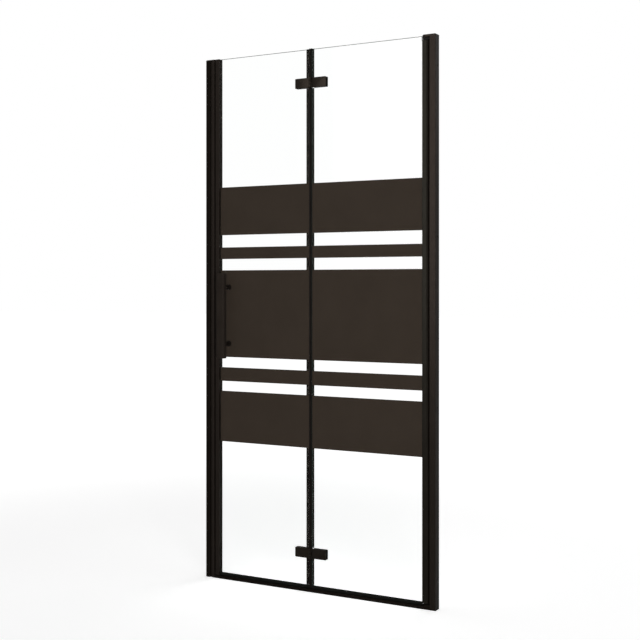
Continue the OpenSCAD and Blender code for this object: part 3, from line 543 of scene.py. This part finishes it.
def sweep(outlines, stations, axis):
    # a section with its holes is carried straight along an axis: point = section point moved in by the
    # station's inset, at the station's place; the two ends are filled between the outline and its holes
    loops = [leftOfTravel(outline, -1 if k else 1) for k, outline in enumerate(outlines)]
    rings, faces, firsts, count = [], [], [], 0
    for loop in loops:
        size = len(loop)
        rings += [np.column_stack([movedIn(loop, inset), np.full(size, place)]) for place, inset in stations]
        faces += ringQuads(size, len(stations), count)
        firsts.append(np.arange(count, count + size))
        count += size * len(stations)
    for station in (0, len(stations) - 1):
        index = np.concatenate([first + station * len(first) for first in firsts])
        faces += endFill([movedIn(loop, stations[station][1]) for loop in loops], index)
    return np.concatenate(rings)[:, axisOrder[axis]], faces


def stacked(rings, places):
    # outlines with the same number of points, one above another along Z, joined into a closed skin
    size = len(rings[0])
    grid = np.concatenate([np.column_stack([outline, np.full(size, z)]) for outline, z in zip(rings, places)])
    faces = ringQuads(size, len(rings))
    for k in (0, len(rings) - 1):
        faces += endFill([rings[k]], k * size + np.arange(size))
    return grid, faces


def turned(profile, centre, axis, steps):
    # lathe work: each (radius, height) of the profile goes round the axis in even steps; a profile that
    # starts and ends at radius nought closes itself
    profile = np.asarray(profile, float)
    cos, sin = circleOutline(0, 0, 1, steps).T
    radius, height = profile[:, :1], profile[:, 1:]
    grid = np.stack([radius * cos, radius * sin, np.repeat(height, steps, 1)], -1).reshape(-1, 3)
    return grid[:, axisOrder[axis]] + np.asarray(centre, float), ringQuads(steps, len(profile))


def domed(radius, base, top, dome, steps):
    # profile of a button: straight side, then a quarter round of radius - dome (1 - cos a) at the height
    # top - dome (1 - sin a), and a flat top
    rise, inset = quarterRound(dome, steps)
    rim = np.column_stack([radius - rise, top - inset])
    return np.concatenate([[(0, base), (radius, base)], rim, [(0, top)]])


def placed(part, mirrorX, move):
    # a part made about the fold axis, mirrored for the folding panel and moved to its place
    verts, faces = part
    return verts * (np.array([-1, 1, 1]) if mirrorX else 1) + np.asarray(move, float), faces


# faces that meet at less than this many degrees shade as one surface
smoothUnder = {"pane": 20, "metal": 35, "moulded": 40}
mergeWithin = 2e-7    # metres


def makePiece(name, parts, finishes, body, standsFor, smoothing):
    # doubles are merged, so poles close, and faces point outwards
    offset, verts, faces = 0, [], []
    for places, partFaces in parts:
        verts.append(places * mm)
        faces += [[offset + k for k in face] for face in partFaces]
        offset += len(places)
    mesh = bpy.data.meshes.new(name)
    mesh.from_pydata(np.concatenate(verts).tolist(), [], faces)
    work = bmesh.new()
    work.from_mesh(mesh)
    bmesh.ops.remove_doubles(work, verts=work.verts, dist=mergeWithin)
    bmesh.ops.recalc_face_normals(work, faces=work.faces)
    work.to_mesh(mesh)
    work.free()
    mesh.polygons.foreach_set("use_smooth", [True] * len(mesh.polygons))
    mesh.set_sharp_from_angle(angle=math.radians(smoothUnder[smoothing]))
    piece = addObject(name, mesh)
    for finish in finishes:
        mesh.materials.append(finish)
    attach(piece, body)
    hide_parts(standsFor)
    return piece


def makeSeal(name, parts, finish, body, node):
    makePiece(name, parts, [finish], body, node, "moulded")


def makeCasting(name, parts, body, node, finish=castBlack, smoothing="moulded"):
    makePiece(name, parts, [finish], body, node, smoothing)


def spanOf(node, axis="z"):
    # the lowest and highest place of a CAD node along an axis, in millimetres
    k = "xyz".index(axis)
    low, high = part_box(node)
    return low[k] / mm, high[k] / mm


# sizes that several pieces share, in millimetres
doorSizes = {
    "foldX": -19.0, "foldY": -9.5, "pivotX": 409.5, "glassHalf": 3.0, "glassLow": 15.0,
    "hingeHeights": {"lower": 130.0, "upper": 1733.0}, "clampPlaces": (22.0, 46.0),
    "handleX": -355.0, "postHeights": (836.0, 1036.0),
    "sealHalf": 4.2, "sealLow": 10.6,
}
hingeHeights = doorSizes["hingeHeights"].values()


# glass

paneSizes = {
    "half": 2.985, "arris": 1.2, "corner": 1.2, "clampHole": 6.0, "notchX": 393.0,
    "flatOver": 0.98,             # a face whose normal leans less than this along Y is part of the edge
}


def makePane(name, corners, holes, body, node):
    # the pane's outline carried through its thickness with a flat arris on both faces
    size = paneSizes
    outlines = [roundedOutline(corners, size["corner"], steps=4)]
    outlines += [circleOutline(x, z, size["clampHole"]) for x, z in holes]
    part = sweep(outlines, cutEnds(-size["half"], size["half"], size["arris"]), "y")
    pane = makePiece(name, [part], [glassClear, glassEdge], body, node, "pane")
    normals = np.zeros(len(pane.data.polygons) * 3)
    pane.data.polygons.foreach_get("normal", normals)
    onEdge = np.abs(normals.reshape(-1, 3)[:, 1]) < size["flatOver"]
    pane.data.polygons.foreach_set("material_index", onEdge.astype(int))


def makePanes():
    # the right pane is notched below and above, where the stile holds it
    foldX, notch = doorSizes["foldX"], paneSizes["notchX"]
    clampHoles = [(x, z) for x in doorSizes["clampPlaces"] for z in hingeHeights]
    (left, right), (low, high) = spanOf("pivot_glass", "x"), spanOf("pivot_glass")
    stileLow, stileHigh = spanOf("pivot_stile")
    corners = [
        (left, low), (notch, low), (notch, stileLow), (right, stileLow),
        (right, stileHigh), (notch, stileHigh), (notch, high), (left, high),
    ]
    makePane("paneRight", corners, [(foldX + x, z) for x, z in clampHoles], "pivot_panel", "pivot_glass")
    corners = rectCorners(*spanOf("fold_glass", "x"), *spanOf("fold_glass"))
    holes = [(foldX - x, z) for x, z in clampHoles]
    holes += [(doorSizes["handleX"], z) for z in doorSizes["postHeights"]]
    makePane("paneLeft", corners, holes, "folding_panel", "fold_glass")


makePanes()
print("glass: two toughened panes with ground edges")


# fold hinges

hingeSizes = {
    "leafLength": 60.0, "leafHeight": 34.0, "leafFront": 0.1, "leafBack": 5.3,
    "nearCorner": 0.8, "farCorner": 2.5, "edge": 0.7, "knuckle": 5.0, "relief": 0.5, "chamfer": 0.45,
    "webInset": 0.2, "webRound": 0.15, "webShort": 0.05, "webOverlap": 1.0,
    "third": 5.6667, "gap": 0.1, "backPlate": (13.7, 18.7), "plateStart": 8.0, "screwHole": 4.8,
}


def leafPlate(front, back, start, holes=()):
    # plate outline in X and Z with round far corners, carried through its thickness with soft edges
    size = hingeSizes
    half, near, far = size["leafHeight"] / 2, size["nearCorner"], size["farCorner"]
    corners = rectCorners(start, size["leafLength"], -half, half)
    loops = [roundedOutline(corners, [near, far, far, near], steps=7)]
    loops += [circleOutline(x, 0, size["screwHole"]) for x in holes]
    return sweep(loops, softEnds(front, back, size["edge"]), "y")


def knuckleParts(bottom, top):
    # barrel turned about the fold axis, with a small chamfer at each end, and the web that ties it to
    # the plate
    size = hingeSizes
    r, c, inset, short = size["knuckle"], size["chamfer"], size["webInset"], size["webShort"]
    profile = [(0, bottom), (r - c, bottom), (r, bottom + c), (r, top - c), (r - c, top), (0, top)]
    corners = rectCorners(0, r + size["relief"] + size["webOverlap"], inset, r - inset)
    outline = roundedOutline(corners, size["webRound"], steps=3)
    web = sweep([outline], [(bottom + short, 0), (top - short, 0)], "z")
    return [turned(profile, (0, 0, 0), "z", steps=48), web]


def makeHinge(level, height):
    size = hingeSizes
    move = (doorSizes["foldX"], doorSizes["foldY"], height)
    t, g, half = size["third"], size["gap"], size["leafHeight"] / 2
    plate = leafPlate(size["leafFront"], size["leafBack"], size["knuckle"] + size["relief"])
    middle = [plate] + knuckleParts(-t + g, t - g)
    outer = [plate] + knuckleParts(-half, -t - g) + knuckleParts(t + g, half)
    back = [leafPlate(*size["backPlate"], size["plateStart"], doorSizes["clampPlaces"])]
    for side, leaf, body in (("pivot", middle, "pivot_panel"), ("fold", outer, "folding_panel")):
        for kind, ending, parts in (("leaf", "Leaf", leaf), ("back_plate", "BackPlate", back)):
            parts = [placed(part, side == "fold", move) for part in parts]
            name, node = f"{level}{side.title()}{ending}", f"{level}_{side}_{kind}"
            makeCasting(name, parts, body, node, hingeBlack, "metal")


for level, height in doorSizes["hingeHeights"].items():
    makeHinge(level, height)
print("hinges: leaves with interleaved knuckles, back plates")


# handle

handleSizes = {
    "width": 31.0, "front": -60.0, "back": -40.0, "low": 786.0, "high": 1086.0,
    "corner": 4.0, "endRound": 1.6, "post": 7.0, "postIn": 0.05, "flare": 1.4,
    "foot": 10.0, "footY": -3.8, "footThick": 3.0, "footRound": 0.6,
    "nutY": 3.8, "nut": 10.0, "nutHigh": 8.0, "nutDome": 3.0,
}


def makeHandle():
    size = handleSizes
    x, half = doorSizes["handleX"], size["width"] / 2
    corners = rectCorners(x - half, x + half, size["front"], size["back"])
    ends = softEnds(size["low"], size["high"], size["endRound"], steps=6)
    bar = sweep([roundedOutline(corners, size["corner"], steps=9)], ends, "z")
    makePiece("handleBar", [bar], [powderHandlePaintedLight], "folding_panel", "handle_bar", "metal")
    # post: straight shank, a quarter-round flare and a low foot with a quarter-round rim
    start, footTop = size["back"] + size["postIn"], size["footY"] - size["footThick"]
    rise, inset = quarterRound(size["flare"], steps=7)
    flare = np.column_stack([size["post"] + rise, footTop - inset])
    rise, inset = quarterRound(size["footRound"], steps=7)
    rim = np.column_stack([size["foot"] - inset, footTop + rise])
    under = [(size["foot"], size["footY"]), (0, size["footY"])]
    post = np.concatenate([[(0, start), (size["post"], start)], flare, rim, under])
    nut = domed(size["nut"], size["nutY"], size["nutY"] + size["nutHigh"], size["nutDome"], steps=7)
    profiles = {"handlePosts": ("handle_posts", post), "handleCapNuts": ("handle_cap_nuts", nut)}
    for name, (node, profile) in profiles.items():
        parts = [turned(profile, (x, 0, z), "y", steps=48) for z in doorSizes["postHeights"]]
        makeCasting(name, parts, "folding_panel", node, smoothing="metal")


makeHandle()
print("handle: bar, posts and cap nuts")


# seals between and under the panels

centreSealSizes = {
    "foldEdge": -26.0, "pivotEdge": -16.0, "split": 0.12, "high": 1850.0, "endCut": 0.2,
    "noseWide": 4.2, "noseRounds": (0.1, 1.1, 1.1, 0.1), "wall": 1.0, "hollowRound": 0.4, "frontThinner": 0.1,
    "roomReach": 1.0, "foldReach": 14.0, "pivotReach": 7.0, "rootIn": 0.4,
    "tipThick": 0.45, "tipSlope": 0.9, "tipRounds": (0.05, 0.12, 0.2, 0.3, 0.05),
    "legLow": 20.8, "legCut": 0.08, "hingeBreak": 18.0,
}


def sealLegs(edge, side, reach):
    # clip legs over both faces of the glass, in the three lengths beside the hinges
    size = centreSealSizes
    inner, out, root = doorSizes["glassHalf"], doorSizes["sealHalf"], edge - side * size["rootIn"]
    breaks = [z + step for z in hingeHeights for step in (-size["hingeBreak"], size["hingeBreak"])]
    levels = [size["legLow"], *breaks, size["high"]]
    legs = []
    for face, length in ((-1, size["roomReach"]), (1, reach)):
        tip = edge + side * length
        corners = [
            (root, face * inner), (tip, face * inner), (tip, face * (inner + size["tipThick"])),
            (tip - side * size["tipSlope"], face * out), (root, face * out),
        ]
        outline = roundedOutline(corners, size["tipRounds"], steps=4)
        for low, high in zip(levels[::2], levels[1::2]):
            legs.append(sweep([outline], cutEnds(low, high, size["legCut"]), "z"))
    return legs


def makeCentreSeals():
    size = centreSealSizes
    out, wall = doorSizes["sealHalf"], size["wall"]
    ends = cutEnds(doorSizes["sealLow"], size["high"], size["endCut"])
    edge, nose = size["foldEdge"], size["foldEdge"] + size["noseWide"]
    shell = roundedOutline(rectCorners(edge, nose, -out, out), size["noseRounds"], steps=7)
    corners = rectCorners(edge + wall, nose - wall, wall - out, out - wall)
    core = sweep([shell, roundedOutline(corners, size["hollowRound"])], ends, "z")
    parts = [core] + sealLegs(edge, -1, size["foldReach"])
    makeSeal("leftFoldSeal", parts, foldSealLeft, "folding_panel", "fold_centre_seal")
    # the right half is a round hollow bulb that lies against the left half's flat nose
    edge, centre = size["pivotEdge"], nose + size["split"] + out
    shell = np.concatenate([leftArc(centre, out), [(edge, -out), (edge, out)]])
    core = sweep([shell, leftArc(centre - size["frontThinner"], out - wall)], ends, "z")
    parts = [core] + sealLegs(edge, 1, size["pivotReach"])
    makeSeal("rightFoldSeal", parts, uprightSeal, "pivot_panel", "pivot_centre_seal")


makeCentreSeals()

dripSizes = {
    "web": 13.5, "top": 20.5, "blade": 0.9, "lip": 8.7, "endCut": 0.06,
    "legRounds": (0.35, 0.4, 0.2, 0.08, 0.08, 0.2, 0.4, 0.4),
    "lipRounds": (0.35, 0.3, 0.2), "bladeRounds": (0.3, 0.35, 0.35, 0.3, 0.3, 0.35),
}


def makeDripSeal(node, name, body):
    # clip with two blades and a drip lip, drawn across the door and carried along it
    size = dripSizes
    low, web, base, top = doorSizes["sealLow"], size["web"], doorSizes["glassLow"], size["top"]
    g, out, blade, lip = doorSizes["glassHalf"], doorSizes["sealHalf"], size["blade"], size["lip"]
    corners = [
        (-out, low), (-out, top), (-g, top), (-g, base), (g, base), (g, top), (out, top), (out, base),
        (lip, low + blade), (lip, low), (g, web), (blade / 2, web), (blade / 2, low), (-blade / 2, low),
        (-blade / 2, web), (-out + blade, web), (-out + blade, low),
    ]
    section = roundedOutline(corners, size["legRounds"] + size["lipRounds"] + size["bladeRounds"])
    ends = cutEnds(*spanOf(node, "x"), size["endCut"])
    makeSeal(name, [sweep([section], ends, "x")], levelSeal, body, node)


makeDripSeal("fold_bottom_seal", "leftDripSeal", "folding_panel")
makeDripSeal("pivot_bottom_seal", "rightDripSeal", "pivot_panel")

stripSizes = {
    "stand": 0.65, "depth": 3.1, "lip": 1.3, "mouth": 2.9, "wide": 4.4, "cover": 6.0,
    "rounds": (0.3, 0.2, 0.1, 0.1, 0.15, 0.3), "endRound": 0.25,
}


def makeStrip(node, name, body, faceX, side):
    # T-shaped foot in the slot and a soft cover that faces the other strip; side points into the profile
    size = stripSizes
    cover, mouth, wide, lip = size["cover"], size["mouth"], size["wide"], size["lip"]
    lower = [(-size["stand"], -cover), (0, -cover), (0, -mouth)]
    lower += [(lip, -mouth), (lip, -wide), (size["depth"], -wide)]
    upper = [(x, -y) for x, y in lower[::-1]]
    corners = [(faceX + side * x, y) for x, y in lower + upper]
    section = roundedOutline(corners, size["rounds"] + size["rounds"][::-1])
    ends = softEnds(*spanOf(node), size["endRound"])
    makeSeal(name, [sweep([section], ends, "z")], uprightSeal, body, node)


makeStrip("jamb_magnet_strip", "jambMagnetStrip", "frame", spanOf("strike_jamb", "x")[1], -1)
makeStrip("panel_magnet_strip", "panelMagnetStrip", "folding_panel", spanOf("closing_profile", "x")[0], 1)

gasketSizes = {"half": 4.0, "web": 0.5, "rounds": (0.1, 0.35, 0.35, 0.08), "endCut": 0.05}


def makeGlazingGasket(node, name, body, mouthIsHigh):
    # U over the glass edge with rounded tips at the profile's lips
    size = gasketSizes
    x0, x1 = spanOf(node, "x")
    back, mouth, side = (x0, x1, 1) if mouthIsHigh else (x1, x0, -1)
    g, h, inside = doorSizes["glassHalf"], size["half"], back + size["web"] * side
    lower = [(back, -h), (mouth, -h), (mouth, -g), (inside, -g)]
    upper = [(x, -y) for x, y in lower[::-1]]
    section = roundedOutline(lower + upper, size["rounds"] + size["rounds"][::-1])
    ends = cutEnds(*spanOf(node), size["endCut"])
    makeSeal(name, [sweep([section], ends, "z")], uprightSeal, body, node)


makeGlazingGasket("stile_gasket", "stileGasket", "pivot_panel", False)
makeGlazingGasket("closing_profile_gasket", "closingGasket", "folding_panel", True)

bulbSizes = {
    "foot": 3.4, "neck": 2.1, "slotLip": 1.2, "lipFit": 0.1, "deep": 2.7,
    "bulb": 1.2, "round": 2.1, "endRound": 0.2,
}


def makeBulbSeal():
    # foot and neck in the jamb's slot, and the front of a round bulb that bears on the stile's back
    size = bulbSizes
    face = spanOf("hinge_jamb", "x")[0]
    lip, neck, foot = face + size["slotLip"], size["neck"], size["foot"]
    centre = face + size["round"] - size["bulb"]
    bow = leftArc(centre, size["round"], np.arccos((centre - face) / size["round"]), steps=15)
    fitted = lip + size["lipFit"]
    lower = [(face, -neck), (fitted, -neck), (fitted, -foot), (lip + size["deep"], -foot)]
    upper = [(x, -y) for x, y in lower[::-1]]
    ends = softEnds(*spanOf("jamb_bulb_seal"), size["endRound"])
    part = sweep([np.concatenate([bow, lower, upper])], ends, "z")
    makeSeal("jambBulbSeal", [part], uprightSeal, "frame", "jamb_bulb_seal")


makeBulbSeal()

endSealSizes = {
    "half": 15.0, "highHalf": 13.0, "flatHalf": 10.0, "drop": 2.0, "round": 3.0, "steps": 26, "endRound": 0.3,
}


def makeEndSeal():
    # block with the threshold's own outline: its height is the higher of two round-shouldered blocks,
    # each top - r + sqrt(r2 - d2), where d is how far a point lies beyond the start of the shoulder
    size = endSealSizes
    half, highHalf, flat, radius = size["half"], size["highHalf"], size["flatHalf"], size["round"]
    top = spanOf("threshold_end_seal")[1]
    steps = size["steps"]
    y = np.concatenate([np.linspace(-half, -flat, steps), np.linspace(flat, half, steps)])
    shoulders = []
    for level, width in ((top, highHalf), (top - size["drop"], half)):
        beyond = np.maximum(np.abs(y) - (width - radius), 0)
        shoulders.append(level - radius + np.sqrt(np.maximum(radius ** 2 - beyond ** 2, 0)))
    height = np.where(np.abs(y) <= highHalf, np.maximum(*shoulders), shoulders[1])
    outline = np.concatenate([np.column_stack([y, height]), [(half, 0), (-half, 0)]])
    ends = softEnds(*spanOf("threshold_end_seal", "x"), size["endRound"])
    makeSeal("thresholdEndSeal", [sweep([outline], ends, "x")], levelSeal, "frame", "threshold_end_seal")


makeEndSeal()
print("seals: centre, drip, magnet, glazing, bulb and end seals")


# clamp gaskets

padSizes = {
    "start": 8.0, "end": 59.0, "half": 16.0, "corner": 1.0, "thick": 1.2, "edge": 0.3,
    "front": 5.3, "back": 12.5, "sleeve": 5.95, "bore": 2.7, "sleeveIn": 0.2, "sleeveShort": 0.1,
}


def makeClampGaskets(node, name, body, mirrorX):
    # two pads with soft edges, and two sleeves through the glass from the front one
    size = padSizes
    corners = rectCorners(size["start"], size["end"], -size["half"], size["half"])
    pad = [roundedOutline(corners, size["corner"])]
    pad += [circleOutline(x, 0, size["bore"]) for x in doorSizes["clampPlaces"]]
    parts = []
    for start in (size["front"], size["back"]):
        parts.append(sweep(pad, softEnds(start, start + size["thick"], size["edge"]), "y"))
    ends = [(size["front"] + size["thick"] - size["sleeveIn"], 0), (size["back"] - size["sleeveShort"], 0)]
    for x in doorSizes["clampPlaces"]:
        loops = [circleOutline(x, 0, radius) for radius in (size["sleeve"], size["bore"])]
        parts.append(sweep(loops, ends, "y"))
    moves = [(doorSizes["foldX"], doorSizes["foldY"], z) for z in hingeHeights]
    makeSeal(name, [placed(part, mirrorX, move) for move in moves for part in parts], uprightSeal, body, node)


makeClampGaskets("pivot_clamp_gaskets", "pivotClampGaskets", "pivot_panel", False)
makeClampGaskets("fold_clamp_gaskets", "foldClampGaskets", "folding_panel", True)
print("clamp gaskets: pads and sleeves")


# castings and caps

def roundEnd(radius, endX):
    # half a circle about the pivot axis, then straight on to endX
    return np.concatenate([leftArc(doorSizes["pivotX"], radius, steps=41), [(endX, -radius), (endX, radius)]])


tongueSizes = {"corner": 0.5, "cut": 0.4, "overlap": 0.5}


def tongue(x0, x1, half, low, under):
    # block that hangs from a cap's underside into the channel
    outline = roundedOutline(rectCorners(x0, x1, -half, half), tongueSizes["corner"], steps=4)
    return sweep([outline], cutFoot(low, under + tongueSizes["overlap"], tongueSizes["cut"]), "z")


topPivotSizes = {
    "plateRound": 15.0, "plateCut": 0.25, "plateEdge": 0.9,
    "bossRound": 14.0, "bossHalf": 9.0, "bossEnd": 419.7, "bossCut": 0.3, "plugGap": 0.3,
    "tongueX": 427.4, "tongueHalf": 11.0,
    "nylonBeyond": 1.0, "nylonUnder": 0.1,
}


def makeTopPivot():
    size = topPivotSizes
    tongueLow, top = spanOf("top_pivot_block")
    under, right = spanOf("wall_channel_right")[1], spanOf("top_pivot_block", "x")[1]
    # the plate has a chamfer below and the upper half of two soft ends above
    cut, steps = size["plateCut"], 7
    upper = softEnds(under, top, size["plateEdge"], steps)[steps:]
    plate = sweep([roundEnd(size["plateRound"], right)], [(under, cut), (under + cut, 0), *upper], "z")
    # the boss is an arc about the pivot axis between two flats
    radius, half, end = size["bossRound"], size["bossHalf"], size["bossEnd"]
    bow = leftArc(doorSizes["pivotX"], radius, np.arcsin(half / radius))
    bossLow, bossHigh = spanOf("stile_plugs")[1] + size["plugGap"], under + tongueSizes["overlap"]
    outline = np.concatenate([bow, [(end, -half), (end, half)]])
    boss = sweep([outline], cutFoot(bossLow, bossHigh, size["bossCut"]), "z")
    hanging = tongue(size["tongueX"], spanOf("hinge_jamb", "x")[1], size["tongueHalf"], tongueLow, under)
    parts, finishes = [plate, boss, hanging], [castBlack, nylonBlack]
    block = makePiece("topPivotBlock", parts, finishes, "frame", "top_pivot_block", "moulded")
    # the bearing boss has a dark nylon face, which also paints the shade of the recess under the plate
    beyond, below = (end + size["nylonBeyond"]) * mm, (under - size["nylonUnder"]) * mm
    for face in block.data.polygons:
        face.material_index = int(face.center[0] < beyond and face.center[2] < below)


makeTopPivot()

endCapSizes = {"rounds": (0.2, 0.2, 0.5, 3.0), "edge": 0.4, "lug": (-429.2, -420.9), "lugHalf": 8.6}


def makeEndCap():
    # plate with a rounded outer corner and soft edges, and its lug
    size = endCapSizes
    lugLow, top = spanOf("strike_end_cap")
    under = spanOf("wall_channel_left")[1]
    outline = roundedOutline(rectCorners(*spanOf("strike_end_cap", "x"), under, top), size["rounds"], steps=7)
    plate = sweep([outline], softEnds(*spanOf("strike_end_cap", "y"), size["edge"], steps=5), "y")
    lug = tongue(*size["lug"], size["lugHalf"], lugLow, under)
    makeCasting("strikeEndCap", [plate, lug], "frame", "strike_end_cap")


makeEndCap()

footSizes = {
    "round": 15.0, "dome": 4.0, "cut": 0.3,
    "channelEdge": 424.5, "channelIn": 13.2, "fit": 0.05, "overlap": 0.5, "corner": 0.3,
}


def makeFoot():
    # the plan narrows over the dome's quarter round: half width = round - dome (1 - cos a),
    # height = top - dome (1 - sin a)
    size = footSizes
    top, right = spanOf("bottom_pivot_foot")[1], spanOf("bottom_pivot_foot", "x")[1]
    rise, inset = quarterRound(size["dome"], steps=9)
    widths = [size["round"] - size["cut"], size["round"], *(size["round"] - rise)]
    heights = [0.0, size["cut"], *(top - inset)]
    foot = stacked([roundEnd(width, size["channelEdge"]) for width in widths], heights)
    half = size["channelIn"] - size["fit"]
    corners = rectCorners(size["channelEdge"] - size["overlap"], right, -half, half)
    block = sweep([roundedOutline(corners, size["corner"], steps=3)], [(0.0, 0), (top, 0)], "z")
    # the foot takes the powder with painted shade, darker near the floor
    makeCasting("bottomPivotFoot", [foot, block], "frame", "bottom_pivot_foot", powderPaintedShade)


makeFoot()

closingCapSizes = {
    "corner": 1.5, "pocketX": -401.0, "slotHalf": 3.2, "slotCorner": 0.1, "plate": 1.5, "overlap": 0.05,
    "edge": 0.35, "edgeRise": 0.1, "edgeShare": 0.4, "topRise": 0.15, "topInset": 0.08,
}


def makeClosingCaps():
    # a full block under the glass edge, and a plate with a slot for the glass above it and at the top
    size = closingCapSizes
    x0, x1 = spanOf("closing_profile_caps", "x")
    y0, y1 = spanOf("closing_profile_caps", "y")
    low, high = spanOf("closing_profile_caps")
    r, sharp, slot, pocket = size["corner"], size["slotCorner"], size["slotHalf"], size["pocketX"]
    full = roundedOutline(rectCorners(x0, x1, y0, y1), r, steps=6)
    corners = [
        (x0, y0), (x1, y0), (x1, -slot), (pocket, -slot), (pocket, slot), (x1, slot), (x1, y1), (x0, y1),
    ]
    notched = roundedOutline(corners, [r, r, sharp, sharp, sharp, sharp, r, r], steps=6)
    edge, base, plate = size["edge"], doorSizes["glassLow"], size["plate"]
    lowEnds = [(low, edge), (low + size["edgeRise"], edge * size["edgeShare"]), (low + edge, 0), (base, 0)]
    highEnds = [(high - plate, 0), (high - size["topRise"], 0), (high, size["topInset"])]
    parts = [
        sweep([full], lowEnds, "z"),
        sweep([notched], [(base - size["overlap"], 0), (base + plate, 0)], "z"),
        sweep([notched], highEnds, "z"),
    ]
    makeCasting("closingCaps", parts, "folding_panel", "closing_profile_caps")


makeClosingCaps()

coverSizes = {
    "face": 15.0, "radius": 4.7, "high": 3.4, "dome": 1.6,
    "leftX": -436.35, "leftHeights": (150.0, 925.0, 1700.0),
    "rightX": 433.85, "rightHeights": (8.0, 150.0, 925.0, 1700.0, 1827.5),
}


def makeCoverCaps():
    # low domes over the screws on the shower side
    size = coverSizes
    profile = domed(size["radius"], size["face"], size["face"] + size["high"], size["dome"], steps=8)
    places = [(size["leftX"], z) for z in size["leftHeights"]]
    places += [(size["rightX"], z) for z in size["rightHeights"]]
    parts = [turned(profile, (x, 0, z), "y", steps=32) for x, z in places]
    makeCasting("screwCovers", parts, "frame", "screw_cover_caps")


makeCoverCaps()
print("castings: top pivot block, foot, end cap, closing caps, screw covers")
